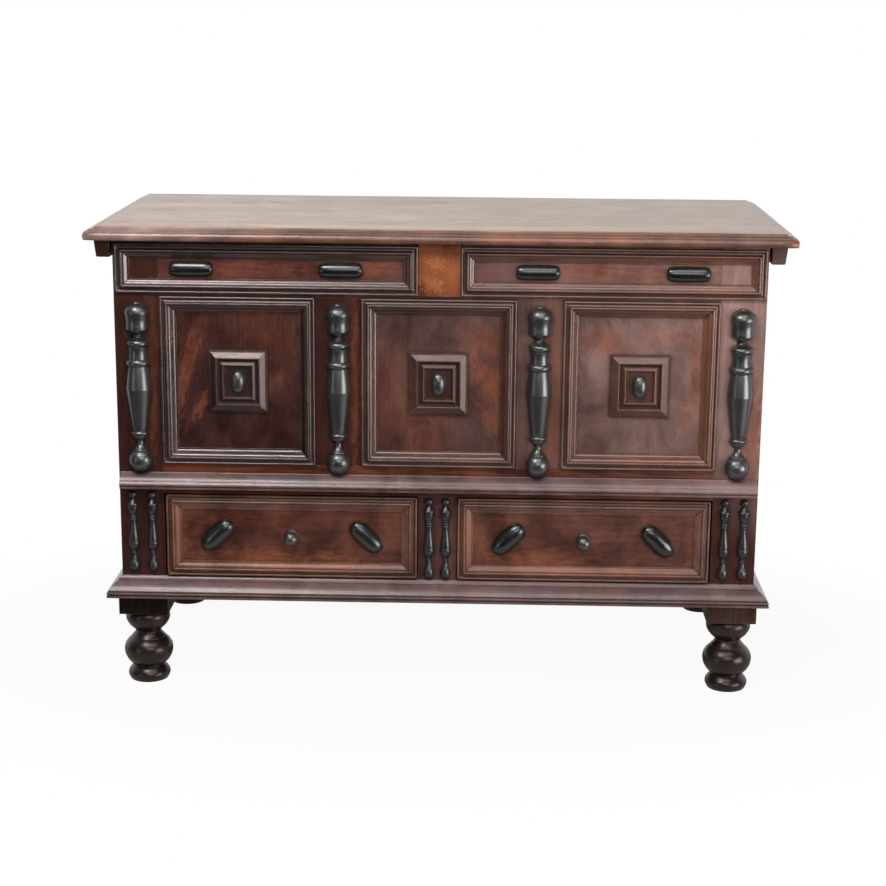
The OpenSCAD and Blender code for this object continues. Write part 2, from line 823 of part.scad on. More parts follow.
// The screws of both hinges, through the upper leaves and up into the lid.
module lid_screws(play) {
    for (side = [-1, 1])
        for (place = screw_places)
            translate([side * hinge_x + place * hinge_l, screw_y, hinge_z + leaf_play])
                rotate([180, 0, 0]) screw(play);
}

// Recesses for the leaves, in the rail's top or in the lid's underside.
module leaf_recess(z) {
    for (side = [-1, 1])
        bar(widened([side * hinge_x, side * hinge_x], hinge_l / 2 + fit_gap),
            [case_d - leaf_w - fit_gap, case_d + past], z);
}

module rear_top_rail() {
    color(dark_walnut) placed() difference() {
        at_back() cross_rail([panel_z1, case_z1], top_tenon, true, false);
        leaf_recess([hinge_z - leaf_play - leaf_t, case_z1 + past]);
        rail_screws(screw_play);
    }
}

module rear_lower_rails() {
    color(dark_walnut) placed() at_back() {
        cross_rail([drawer_z1, panel_z0], middle_tenon, true, true);
        cross_rail([case_z0, drawer_z0], bottom_tenon, false, true);
    }
}

module rear_muntins() {
    color(dark_walnut) placed() at_back() {
        muntin(0, muntin_w, [panel_z0, panel_z1], true);
        muntin(0, muntin_w, [drawer_z0, drawer_z1], true);
    }
}

module back_panels() {
    color(plain_wood) placed() at_back()
        for (side = [-1, 1])
            for (z = [[panel_z0, panel_z1], [drawer_z0, drawer_z1]])
                on_side(side) grooved_panel([muntin_w / 2, stile_in], z);
}

// Boards laid side by side from front to back, the end ones notched round the stiles.
module chest_floor() {
    floor_half = side_in - floor_play;
    board_w = 2 * floor_half / floor_boards;
    corner = [stile_in - floor_play, case_half];
    color(plain_wood) placed() difference() {
        for (i = [0:floor_boards - 1])
            bar([i * board_w - floor_half + mitre_gap, (i + 1) * board_w - floor_half - mitre_gap],
                [rail_t + floor_play, back_in - floor_play], [floor_z, floor_z + floor_t]);
        for (side = [-1, 1])
            on_side(side)
                for (y = [[0, stile_t + floor_play], [case_d - stile_t - floor_play, case_d]])
                    bar(corner, y, [floor_z - past, floor_z + floor_t + past]);
    }
}

// Battens along the insides of the middle rails, which carry the floor boards.
module floor_bearers() {
    z = [floor_z - bearer_t, floor_z];
    color(plain_wood) placed() {
        bar([-stile_in, stile_in], [rail_t, rail_t + bearer_t], z);
        bar([-stile_in, stile_in], [back_in - bearer_t, back_in], z);
        for (side = [-1, 1])
            on_side(side) bar([side_in - bearer_t, side_in], [stile_t, case_d - stile_t], z);
    }
}

// Bars from the front rail to the rear rail, which the drawers' sides slide on.
module drawer_runners() {
    y = [rail_t, back_in];
    z = [drawer_z0 - runner_h, drawer_z0];
    color(plain_wood) placed() {
        for (side = [-1, 1])
            on_side(side) bar([stile_in - runner_lap, stile_in], y, z);
        bar([-divider_half - runner_lap, divider_half + runner_lap], y, z);
    }
}

module drawer_guides() {
    color(plain_wood) placed() {
        for (side = [-1, 1])
            on_side(side)
                bar([stile_in, stile_in + guide_t], [stile_t, case_d - stile_t],
                    [drawer_z0 - runner_h, drawer_z0 + guide_h]);
        bar([-divider_half, divider_half], [rail_t, back_in], [drawer_z0, drawer_z0 + guide_h]);
    }
}

// Bars over the drawers' sides, which stop an open drawer from tipping.
module drawer_kickers() {
    y = [rail_t, back_in];
    z = [drawer_z1, drawer_z1 + kicker_h];
    color(plain_wood) placed() {
        for (side = [-1, 1])
            on_side(side) bar([stile_in - runner_lap, stile_in], y, z);
        bar([-divider_half - runner_lap, divider_half + runner_lap], y, z);
    }
}

// Blocks between the rear rail and the closed drawers' sides.
module drawer_stops() {
    inner = divider_half + drawer_gap;
    outer = stile_in - drawer_outer_gap;
    color(plain_wood) placed()
        for (side = [-1, 1])
            on_side(side)
                for (x = [[inner, inner + stop_w], [outer - stop_w, outer]])
                    bar(x, [drawer_l + stop_gap, back_in], [drawer_z0, drawer_z0 + stop_h]);
}

module plinth_blocks() {
    half = block_w / 2;
    color(dark_walnut) placed()
        for (side = [-1, 1])
            for (y = block_y)
                translate([side * block_x, y, foot_h])
                    difference() {
                        bar([-half, half], [-half, half], [0, block_h]);
                        translate([0, 0, -past])
                            cylinder(h = foot_tenon_l + past + fit_gap, d = foot_tenon_dia + fit_gap);
                    }
}

module turned_feet() {
    outline = stretched(foot_outline, foot_dia / 2, foot_h);
    color(ebonised) placed()
        for (side = [-1, 1])
            for (y = block_y)
                translate([side * block_x, y, 0]) {
                    rotate_extrude() polygon(outline);
                    translate([0, 0, foot_h - past])
                        cylinder(h = foot_tenon_l + past, d = foot_tenon_dia);
                }
}

// One leaf of a hinge with its share of the knuckles, lying under the hinge's plane.
module hinge_leaf(first) {
    plate_z = [-leaf_play - leaf_t, -leaf_play];
    difference() {
        union() {
            bar([-hinge_l / 2, hinge_l / 2], [case_d - leaf_w, barrel_y - barrel_r - knuckle_gap], plate_z);
            for (i = [first:2:knuckles - 1]) {
                x0 = i * knuckle_l - hinge_l / 2 + (i == 0 ? 0 : knuckle_gap / 2);
                x1 = (i + 1) * knuckle_l - hinge_l / 2 - (i == knuckles - 1 ? 0 : knuckle_gap / 2);
                bar([x0, x1], [case_d - leaf_t, barrel_y], plate_z);
                translate([x0, barrel_y, 0])
                    rotate([0, 90, 0]) cylinder(h = x1 - x0, r = barrel_r);
            }
        }
        translate([-hinge_l, barrel_y, 0])
            rotate([0, 90, 0]) cylinder(h = 2 * hinge_l, r = pin_dia / 2 + pin_play);
    }
}

module hinge_case_leaves() {
    color(brass) placed() difference() {
        for (side = [-1, 1])
            translate([side * hinge_x, 0, hinge_z]) hinge_leaf(0);
        rail_screws(screw_play);
    }
}

module hinge_lid_leaves() {
    color(brass) placed() difference() {
        for (side = [-1, 1])
            translate([side * hinge_x, 0, hinge_z])
                mirror([0, 0, 1]) hinge_leaf(1);
        lid_screws(screw_play);
    }
}

module hinge_pins() {
    color(brass) placed()
        for (side = [-1, 1])
            translate([side * hinge_x - hinge_l / 2, barrel_y, hinge_z])
                rotate([0, 90, 0]) cylinder(h = hinge_l, d = pin_dia);
}

module hinge_case_screws() {
    color(brass) placed() rail_screws(0);
}

module hinge_lid_screws() {
    color(brass) placed() lid_screws(0);
}

// A board with a worked edge along its front and ends, recessed for the hinges.
module lid_board() {
    edge = lid_edge(lid_t, lid_edge_w);
    half = case_half + lid_side;
    front = [for (p = edge) [lid_front - p[0], p[1]]];
    right = [for (p = edge) [half - p[0], p[1]]];
    left = [for (i = [len(edge) - 1:-1:0]) [edge[i][0] - half, edge[i][1]]];
    color(lid_brown) placed() difference() {
        translate([0, 0, lid_z0])
            intersection() {
                rotate([90, 0, -90])
                    linear_extrude(height = 2 * half + 2 * past, center = true)
                        polygon(concat([[-back_reach, 0], [-back_reach, lid_t]], front));
                translate([0, case_d / 2, 0])
                    rotate([90, 0, 0])
                        linear_extrude(height = 2 * case_d, center = true)
                            polygon(concat(right, left));
            }
        leaf_recess([lid_z0 - past, hinge_z + leaf_play + leaf_t]);
        for (side = [-1, 1])
            bar(widened([side * hinge_x, side * hinge_x], hinge_l / 2 + fit_gap),
                [case_d - fit_gap, barrel_y + barrel_r + barrel_play],
                [lid_z0 - past, hinge_z + barrel_r + barrel_play]);
        lid_screws(screw_play);
    }
}

// Cleats under the lid's ends, outside the case. Their outer faces lean in to an eased corner.
module lid_cleats() {
    x0 = case_half + cleat_gap;
    x1 = x0 + cleat_w;
    cleat_front = 3;
    ease = 3;
    lean = 4;
    color(dark_walnut) placed()
        for (side = [-1, 1])
            on_side(side)
                translate([0, case_d, lid_z0 - cleat_h])
                    rotate([90, 0, 0])
                        linear_extrude(height = case_d + cleat_front)
                            polygon(concat([[x0, 0]],
                                sweep_points(x1 - lean - ease, ease, ease, ease, -90, 0, 6),
                                [[x1, cleat_h], [x0, cleat_h]]));
}

// The tails of one drawer side, seen from outside, as trapezia that widen to the front.
module tails(play, x) {
    for (i = [0:dovetails - 1])
        translate([x[0], 0, drawer_foot_z + (i + 0.5) * tail_pitch])
            rotate([90, 0, 90])
                linear_extrude(height = x[1] - x[0])
                    polygon([[drawer_front_t + past, -tail_narrow - play],
                        [drawer_front_t + past, tail_narrow + play],
                        [dovetail_lap - play, tail_wide + play],
                        [dovetail_lap - play, -tail_wide - play]]);
}

// Draws a piece of a drawer for both of its sides, about the drawer's middle.
module drawer_place(side) {
    placed() translate([side * drawer_x, 0, 0]) children();
}

// The groove for a drawer's bottom board.
module bottom_groove(play) {
    half = drawer_w / 2 - drawer_side_t + drawer_groove_d - play;
    bar([-half, half], [drawer_front_t - drawer_groove_d + play, drawer_l + (play > 0 ? 0 : past)],
        [drawer_floor_z, drawer_floor_z + drawer_bottom_t + (play > 0 ? 0 : fit_gap)]);
}

module drawer_front(side) {
    half = drawer_w / 2;
    color(walnut) drawer_place(side) difference() {
        bar([-half, half], [0, drawer_front_t], [drawer_foot_z, drawer_foot_z + drawer_h]);
        for (end = [-1, 1])
            on_side(end)
                intersection() {
                    tails(fit_gap, [half - drawer_side_t - fit_gap, half + past]);
                    bar([0, drawer_w], [0, drawer_front_t + 2 * past], [0, case_z1]);
                }
        bottom_groove(0);
        translate([0, -past, drawer_z])
            rotate([-90, 0, 0])
                cylinder(h = drawer_front_t, r = knob_tenon_r + fit_gap / 2);
    }
}

// Two sides and a back, housed together.
module drawer_box(side) {
    half = drawer_w / 2;
    inner = half - drawer_side_t;
    housing = drawer_side_t / 3;
    back_foot = drawer_floor_z + drawer_bottom_t + 2 * fit_gap;
    back_top = drawer_side_top - drawer_back_drop;
    color(plain_wood) drawer_place(side) {
        for (end = [-1, 1])
            on_side(end)
                difference() {
                    union() {
                        bar([inner, half], [drawer_front_t + fit_gap, drawer_l],
                            [drawer_side_foot, drawer_side_top]);
                        tails(0, [inner, half]);
                    }
                    bottom_groove(0);
                    bar([inner - past, inner + housing], [drawer_back_y, drawer_back_y + drawer_side_t],
                        [drawer_floor_z, drawer_side_top + past]);
                }
        bar([fit_gap - inner - housing, inner + housing - fit_gap],
            [drawer_back_y + fit_gap, drawer_back_y + drawer_side_t - fit_gap],
            [back_foot, back_top]);
    }
}

module drawer_bottom(side) {
    color(plain_wood) drawer_place(side) bottom_groove(fit_gap);
}

module drawer_moulding(side) {
    color(dark_walnut) drawer_place(side)
        translate([0, 0, drawer_z])
            mitred_frame(drawer_w, drawer_h, drawer_moulding_w,
                frame_section(drawer_moulding_w, 0, foot_rise));
}

// Two bosses that lean towards each other at the top.
module drawer_bosses(side) {
    color(ebonised) drawer_place(side)
        for (step = [-1, 1])
            translate([step * drawer_boss_gap, 0, drawer_z])
                rotate([0, step * drawer_boss_slant, 0])
                    turned_boss(drawer_boss, drawer_boss_fullness);
}

// Outline of a knob: a rosette on the drawer's face, a waisted stem and a ball.
knob_rosette_r = 14;
knob_tenon_r = 6;
knob_tenon_l = 14;
knob_outline = concat(
    [[0, -knob_tenon_l], [knob_tenon_r, -knob_tenon_l], [knob_tenon_r, 0], [knob_rosette_r - 1, 0]],
    ring(0.4, 5, knob_rosette_r - 1.6, 1.6, 6),
    turned([knob_rosette_r - 2.4, 5.4], [7, knob_stem + 1], -3.6, 8),
    sweep_points(0, knob_stem + knob_dia / 2, knob_dia / 2, knob_dia / 2, -58, 82, 14),
    [[0, knob_reach]]
);

module drawer_knob(side) {
    color(ebonised) drawer_place(side)
        translate([0, 0, drawer_z])
            rotate([90, 0, 0]) rotate_extrude() polygon(knob_outline);
}

front_stile(-1);  // front_stile_left
front_stile(1);  // front_stile_right
rear_stile(-1);  // rear_stile_left
rear_stile(1);  // rear_stile_right
front_top_rail();
front_middle_rail();
front_bottom_rail();
front_muntins();
drawer_divider();
front_panel(-1);  // front_panel_left
front_panel(0);  // front_panel_centre
front_panel(1);  // front_panel_right
centre_plaque();
upper_moulding(-1);  // upper_moulding_left
upper_moulding(1);  // upper_moulding_right
panel_moulding(-1);  // panel_moulding_left
panel_moulding(0);  // panel_moulding_centre
panel_moulding(1);  // panel_moulding_right
square_ornaments();
upper_bosses();
panel_bosses();
large_split_spindles();
small_split_spindles();
mid_moulding();
base_moulding();
side_rails(-1);  // side_rails_left
side_rails(1);  // side_rails_right
side_panels(-1);  // side_panels_left
side_panels(1);  // side_panels_right
rear_top_rail();
rear_lower_rails();
rear_muntins();
back_panels();
chest_floor();
floor_bearers();
drawer_runners();
drawer_guides();
drawer_kickers();
drawer_stops();
plinth_blocks();
turned_feet();
hinge_case_leaves();
hinge_pins();
hinge_case_screws();
lid_board();
lid_cleats();
hinge_lid_leaves();
hinge_lid_screws();
drawer_front(-1);  // drawer_front_left
drawer_box(-1);  // drawer_box_left
drawer_bottom(-1);  // drawer_bottom_left
drawer_moulding(-1);  // drawer_moulding_left
drawer_bosses(-1);  // drawer_bosses_left
drawer_knob(-1);  // drawer_knob_left
drawer_front(1);  // drawer_front_right
drawer_box(1);  // drawer_box_right
drawer_bottom(1);  // drawer_bottom_right
drawer_moulding(1);  // drawer_moulding_right
drawer_bosses(1);  // drawer_bosses_right
drawer_knob(1);  // drawer_knob_right
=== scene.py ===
"""Finishes for the storage chest: stained and worn wood, ebonised turnings, the lid's worn board,
the light and the camera. Lengths are in metres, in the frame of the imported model."""

import math

import bmesh
import bpy
from bpy.props import FloatProperty, FloatVectorProperty, PointerProperty
from mathutils import Matrix, Vector, noise


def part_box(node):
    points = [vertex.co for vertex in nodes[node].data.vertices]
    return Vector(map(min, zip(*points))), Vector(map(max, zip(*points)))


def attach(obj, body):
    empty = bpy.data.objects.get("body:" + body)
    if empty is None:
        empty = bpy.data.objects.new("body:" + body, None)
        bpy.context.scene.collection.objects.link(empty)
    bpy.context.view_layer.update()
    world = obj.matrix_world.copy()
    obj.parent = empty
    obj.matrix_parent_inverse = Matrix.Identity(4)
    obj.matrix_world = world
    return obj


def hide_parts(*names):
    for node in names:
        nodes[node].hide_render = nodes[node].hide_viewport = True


bl_info = {
    "name": "Storage Chest",
    "version": (1, 0, 0),
    "blender": (4, 5, 0),
    "location": "3D View > Sidebar > Storage Chest",
    "description": "Finishes a panelled storage chest and sets its light and camera",
    "category": "Object",
}

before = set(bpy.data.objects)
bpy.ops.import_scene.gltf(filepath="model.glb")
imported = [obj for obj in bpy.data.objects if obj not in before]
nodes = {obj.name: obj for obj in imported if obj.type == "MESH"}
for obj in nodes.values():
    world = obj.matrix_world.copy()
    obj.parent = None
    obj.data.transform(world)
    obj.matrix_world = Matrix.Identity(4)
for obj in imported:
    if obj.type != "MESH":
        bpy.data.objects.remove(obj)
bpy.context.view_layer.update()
SIDES = ("left", "right")
PANELS = ("left", "centre", "right")
ORIGIN = (0.0, 0.0, 0.0)
BLACK = (0.0, 0.0, 0.0, 1.0)
WHITE = (1.0, 1.0, 1.0, 1.0)
# How grain that runs along X, up Z or from front to back is turned to run along X
TURN_TO_X = {
    "along": (0.0, 0.0, 0.0),
    "upright": (0.0, math.pi / 2, 0.0),
    "deep": (0.0, 0.0, -math.pi / 2),
}
# How fine the torn outline of a worn place is along each axis
STROKES_UPRIGHT = (150.0, 150.0, 46.0)
STROKES_ALONG = (46.0, 150.0, 150.0)
STROKES_PLAQUE = (260.0, 150.0, 120.0)
# Where the worn places lie: the front's wood, the plaque's face, the lid's edge and its top
FRONT_Y = -0.28
PLAQUE_Y = -0.29
LID_EDGE_Y = -0.309
LID_TOP_Z = 0.93
PATCH_DEPTH = 0.05
SHARP_EDGE = math.radians(24.0)
FLAT_ENOUGH = math.radians(0.5)


# Sizes and colours that a user would change


def colour(name, description, value):
    return FloatVectorProperty(
        name=name, description=description, subtype="COLOR", size=3, min=0.0, max=1.0,
        default=value,
    )


def length(name, description, low, high, value):
    return FloatProperty(
        name=name, description=description, subtype="DISTANCE", unit="LENGTH", min=low, max=high,
        default=value,
    )


def angle(name, description, value):
    return FloatProperty(name=name, description=description, subtype="ANGLE", default=value)


def amount(name, description, low, high, value):
    return FloatProperty(name=name, description=description, min=low, max=high, default=value)


def power(name, light, value):
    return FloatProperty(
        name=name, description=f"Power of the {light}, in watts", min=0.0, default=value
    )


class CHEST_PG_stains(bpy.types.PropertyGroup):
    """Colours of the finishes, in linear light"""

    stile: colour("Stiles", "Stain of stiles, rails and muntins", (0.036, 0.0090, 0.0058))
    field: colour("Upper fields", "Fields at the top of the front", (0.078, 0.0212, 0.0160))
    panel: colour("Panels", "Stain of the panels", (0.037, 0.0116, 0.0107))
    moulding: colour("Dark mouldings", "Frames of fields and panels", (0.015, 0.0052, 0.0048))
    # Partly painted light: the frames at the right end drift to this lighter brown, which is
    # partly worn finish and partly the light and sheen falling there
    moulding_worn_and_lit: colour("Worn mouldings", "Frames at the right end", (0.162, 0.054, 0.030))
    ledge: colour("Ledges", "Greyed middle and base mouldings", (0.112, 0.062, 0.063))
    drawer: colour("Drawer fronts", "Stain of the drawer fronts", (0.086, 0.0260, 0.0160))
    drawer_frame: colour("Drawer mouldings", "Frames on the drawers", (0.110, 0.0420, 0.0280))
    # Painted light: a pale pinkish tone that the stain drifts to towards the right end and the
    # top, standing in for the light and sheen that fall stronger there
    faded: colour("Faded stain", "Stain bleached at the right end", (0.275, 0.165, 0.148))
    rubbed: colour("Rubbed stain", "Dark stain rubbed to orange", (0.180, 0.052, 0.024))
    # Bare wood on worn arrises, pale enough to be a painted highlight along the ridges too
    bare_and_highlight: colour("Bare arris", "Worn arrises and chips", (0.42, 0.270, 0.215))
    # Grime in the pores, and painted shade: the darkening put into corners, quirks and coves
    grime_and_shade: colour("Grime", "Dirt in corners and quirks", (0.0040, 0.0022, 0.0019))
    amber_light: colour("Amber, light", "Light blotches of the plaque", (0.34, 0.112, 0.036))
    amber: colour("Amber", "Varnished plaque", (0.138, 0.036, 0.014))
    strip: colour("Rail strip", "Varnished strip of the middle rail", (0.092, 0.0220, 0.0098))
    lid: colour("Lid", "Worn varnish of the lid", (0.362, 0.220, 0.146))
    # Painted shade: the darker tone the lid drifts to towards the right and back, where less
    # light falls
    lid_shaded: colour("Lid, faded", "Lid where light has bleached it", (0.240, 0.134, 0.062))
    lid_knot: colour("Lid, knots", "Knots and stains in the lid", (0.045, 0.030, 0.024))
    lid_edge: colour("Lid edge", "Worked edge of the lid", (0.098, 0.038, 0.026))
    ebony: colour("Ebonised", "Greenish black of the turnings", (0.0030, 0.0042, 0.0038))
    ebony_rubbed: colour("Ebonised, rubbed", "Black rubbed thin", (0.040, 0.031, 0.023))
    foot: colour("Feet", "Brownish black of the feet", (0.0085, 0.0040, 0.0029))
    foot_rubbed: colour("Feet, rubbed", "Feet rubbed thin", (0.060, 0.030, 0.019))
    # Painted shade: darkened to stand for the shade under the base moulding
    block: colour("Blocks", "Stain of the blocks over the feet", (0.0110, 0.0046, 0.0034))
    plain: colour("Plain wood", "Unfinished wood inside and behind", (0.30, 0.175, 0.086))
    brass: colour("Brass", "Dull brass of the hinges", (0.42, 0.27, 0.095))
    brass_dark: colour("Tarnish", "Tarnish on the brass", (0.085, 0.052, 0.025))


class CHEST_PG_wear(bpy.types.PropertyGroup):
    """How worn the surfaces and the lid are"""

    arris: length("Arris", "Radius that sharp edges are worn to", 0.0002, 0.004, 0.0012)
    # Reach of the AO mask that puts painted shade into corners, with the grime
    quirk: length("Quirk", "Reach of the grime in corners", 0.002, 0.05, 0.0075)
    grid: length("Lid grid", "Spacing of the cuts that let the lid undulate", 0.01, 0.06, 0.018)
    undulation: length(
        "Undulation", "Height of the hand-planed waves in the lid", 0.0, 0.002, 0.0005
    )
    dents: length("Dents", "Depth of the dents along the lid's edge", 0.0, 0.003, 0.0011)
    edge: length(
        "Worked edge", "Width of the worked edge, with a finish of its own", 0.01, 0.04, 0.0235
    )
    corner: length(
        "Corners", "How far the lid's front corners are worn back", 0.0, 0.01, 0.0045
    )


class CHEST_PG_stage(bpy.types.PropertyGroup):
    """The camera's place and the strength of the light"""

    camera_place: FloatVectorProperty(
        name="Camera", description="Place of the camera", subtype="TRANSLATION", unit="LENGTH",
        size=3, default=(0.0972, -3.8821, 1.3767),
    )
    yaw: angle("Yaw", "Turn of the camera to the left", 0.0242)
    pitch: angle("Pitch", "Tilt of the camera downwards", 0.2362)
    roll: angle("Roll", "Roll of the camera", 0.0084)
    lens: amount("Lens", "Focal length on a sensor 36 mm wide", 20.0, 200.0, 76.653)
    ambient: amount("Ambient", "Brightness of the room's ceiling and walls", 0.0, 2.0, 0.18)
    below: amount("Below", "Brightness of the room below the horizon", 0.0, 2.0, 0.04)
    overhead_left: power("Overhead left", "left light overhead", 44.0)
    overhead_right: power("Overhead right", "right light overhead", 16.0)
    key_light: power("Key light", "high light at the front", 27.0)
    left_light: power("Left light", "tall light on the left", 7.0)
    right_light: power("Right light", "tall light on the right", 72.0)


# Shader building


def fill(tree, made, inputs):
    """Joins or fills a shader node's inputs, by name or number."""
    for key, value in inputs.items():
        if isinstance(value, bpy.types.NodeSocket):
            tree.links.new(value, made.inputs[key])
        else:
            made.inputs[key].default_value = value
    return made


def place(tree, kind, inputs=None, **settings):
    """Adds a shader node by the end of its type, sets it up, and joins or fills its inputs."""
    made = tree.nodes.new(f"ShaderNode{kind}")
    for key, value in settings.items():
        setattr(made, key, value)
    return fill(tree, made, inputs or {})


def calc(tree, operation, *values, clamp=False):
    inputs = dict(enumerate(values))
    return place(tree, "Math", inputs, operation=operation, use_clamp=clamp).outputs[0]


def plus(tree, first, *others, clamp=False):
    """Adds numbers in turn, and clamps only the last sum."""
    for index, value in enumerate(others, start=1):
        first = calc(tree, "ADD", first, value, clamp=clamp and index == len(others))
    return first


def minus(tree, first, second):
    return calc(tree, "SUBTRACT", first, second)


def times(tree, first, second, clamp=False):
    return calc(tree, "MULTIPLY", first, second, clamp=clamp)


def inverse(tree, value):
    return minus(tree, 1.0, value)


def swing(tree, value, reach, middle=0.5):
    """Takes a value's distance from its middle, times a reach."""
    return times(tree, minus(tree, value, middle), reach)


def step(tree, value, low, high):
    """Rises smoothly from 0 at low to 1 at high."""
    inputs = {"Value": value, "From Min": low, "From Max": high}
    made = place(tree, "MapRange", inputs, interpolation_type="SMOOTHSTEP")
    return made.outputs["Result"]


def calc_vector(tree, operation, *values, result="Vector"):
    inputs = dict(enumerate(values))
    made = place(tree, "VectorMath", inputs, operation=operation)
    return made.outputs[result]


def split(tree, vector):
    return place(tree, "SeparateXYZ", {0: vector}).outputs


def joined(tree, x, y, z):
    return place(tree, "CombineXYZ", {"X": x, "Y": y, "Z": z}).outputs[0]


def mixed(tree, factor, first, second, blend="MIX"):
    """Mixes two colours. A Mix node's colours are its inputs 6 and 7 and its output 2."""
    inputs = {0: factor, 6: first, 7: second}
    return place(tree, "Mix", inputs, data_type="RGBA", blend_type=blend).outputs[2]


def tinted(tree, tone, shade):
    return mixed(tree, 1.0, tone, shade, "MULTIPLY")


def speckle(tree, vector, scale, detail=3.0, roughness=0.55, distortion=0.0):
    """Noise between 0 and 1. Its scale is one number, or one for each axis to stretch it."""
    if isinstance(scale, float):
        scale = (scale, scale, scale)
    inputs = {
        "Vector": calc_vector(tree, "MULTIPLY", vector, scale), "Scale": 1.0, "Detail": detail,
        "Roughness": roughness, "Distortion": distortion,
    }
    return place(tree, "TexNoise", inputs).outputs["Fac"]


# The kinds of a group's outputs that aren't plain numbers
OUTPUT_KINDS = {"Color": "Color", "Normal": "Vector", "Vector": "Vector"}


def new_group(name, given, results):
    """An empty shader group. An input's kind follows from its default: 1, 3 or 4 numbers."""
    tree = bpy.data.node_groups.new(name, "ShaderNodeTree")
    for label, value in given.items():
        numbers = 1 if isinstance(value, float) else len(value)
        kind = {1: "NodeSocketFloat", 3: "NodeSocketVector", 4: "NodeSocketColor"}[numbers]
        tree.interface.new_socket(label, in_out="INPUT", socket_type=kind).default_value = value
    for label in results:
        kind = f"NodeSocket{OUTPUT_KINDS.get(label, 'Float')}"
        tree.interface.new_socket(label, in_out="OUTPUT", socket_type=kind)
    return tree, tree.nodes.new("NodeGroupInput").outputs, tree.nodes.new("NodeGroupOutput")


def passed(given, *labels):
    """Sockets, by their labels, to hand on to inputs of the same labels."""
    return {label: given[label] for label in labels}


def use_group(tree, name, inputs):
    made = place(tree, "Group", node_tree=bpy.data.node_groups[name])
    return fill(tree, made, inputs).outputs


# Effects that several materials share

FINISH_RESULTS = ("Color", "Roughness", "Coat", "Height", "Normal")


def build_grain():
    """Grain that runs along X: broad figure, growth rings, fibres and pores."""
    tree, given, end = new_group(
        "Wood Grain",
        {"Vector": ORIGIN, "Seed": 0.0, "Band": 0.014},
        ("Figure", "Rings", "Fibre", "Pores"),
    )
    seed_shift = (5.13, 3.71, 8.37)
    ring_bend = 14.0
    late_wood = 2.2
    shift = calc_vector(tree, "MULTIPLY", given["Seed"], seed_shift)
    vector = calc_vector(tree, "ADD", given["Vector"], shift)
    figure = speckle(tree, vector, (1.3, 13.0, 13.0), detail=4.0, distortion=0.5)
    bend = speckle(tree, vector, (1.1, 4.0, 4.0), detail=2.0)
    across = split(tree, vector)
    bands = calc(tree, "DIVIDE", plus(tree, across["Y"], across["Z"]), given["Band"])
    rings = calc(tree, "FRACT", plus(tree, bands, times(tree, bend, ring_bend)))
    fibre = speckle(tree, vector, (9.0, 380.0, 380.0), detail=3.0, roughness=0.65)
    pores = step(tree, speckle(tree, vector, (45.0, 1500.0, 1500.0), detail=1.0), 0.60, 0.72)
    rings = calc(tree, "POWER", rings, late_wood)
    fill(tree, end, {"Figure": figure, "Rings": rings, "Fibre": fibre, "Pores": pores})


def build_edges():
    """Masks of worn arrises, used for bare wood and painted highlights, and of quirks, used for
    painted shade, and a rounded normal, all from the shape itself.
    """
    tree, given, end = new_group(
        "Edges",
        {"Place": ORIGIN, "Arris": 0.0012, "Quirk": 0.009, "Hollow": 0.82},
        ("Arris", "Quirk", "Normal"),
    )
    sharpness = 7.0
    hollow_range = 0.46
    rounded = place(tree, "Bevel", {"Radius": given["Arris"]}, samples=4).outputs[0]
    flat = place(tree, "NewGeometry").outputs["Normal"]
    facing = calc_vector(tree, "DOT_PRODUCT", rounded, flat, result="Value")
    turned = times(tree, inverse(tree, facing), sharpness, clamp=True)
    inputs = {"Distance": given["Quirk"]}
    open_air = place(tree, "AmbientOcclusion", inputs, samples=6).outputs["AO"]
    convex = step(tree, open_air, 0.62, 0.92)
    specks = speckle(tree, given["Place"], 38.0, detail=5.0, roughness=0.7)
    arris = times(tree, times(tree, turned, convex), step(tree, specks, 0.40, 0.64))
    deepest = minus(tree, given["Hollow"], hollow_range)
    # Quirk mask: hollows that the AO finds, where painted shade is put
    quirk = inverse(tree, step(tree, open_air, deepest, given["Hollow"]))
    fill(tree, end, {"Arris": arris, "Quirk": quirk, "Normal": rounded})


def build_patch():
    """A worn patch with a torn outline: an ellipsoid at a place, leaning in the front's plane."""
    tree, given, end = new_group(
        "Worn Patch",
        {
            "Place": ORIGIN, "Centre": ORIGIN, "Reach": (0.1, 0.1, 0.1),
            "Strokes": STROKES_UPRIGHT, "Lean": 0.0, "Amount": 1.0, "Others": 0.0,
        },
        ("Worn",),
    )
    tear = 4.0
    part = split(tree, calc_vector(tree, "SUBTRACT", given["Place"], given["Centre"]))
    across = plus(tree, part["X"], times(tree, part["Z"], given["Lean"]))
    leaned = joined(tree, across, part["Y"], part["Z"])
    size = calc_vector(tree, "DIVIDE", leaned, given["Reach"])
    distance = calc_vector(tree, "LENGTH", size, result="Value")
    torn = speckle(tree, leaned, given["Strokes"], detail=6.0, roughness=0.70, distortion=0.5)
    edge = plus(tree, distance, swing(tree, torn, tear))
    mask = times(tree, inverse(tree, step(tree, edge, 0.30, 1.15)), given["Amount"])
    fill(tree, end, {"Worn": calc(tree, "MAXIMUM", mask, given["Others"])})


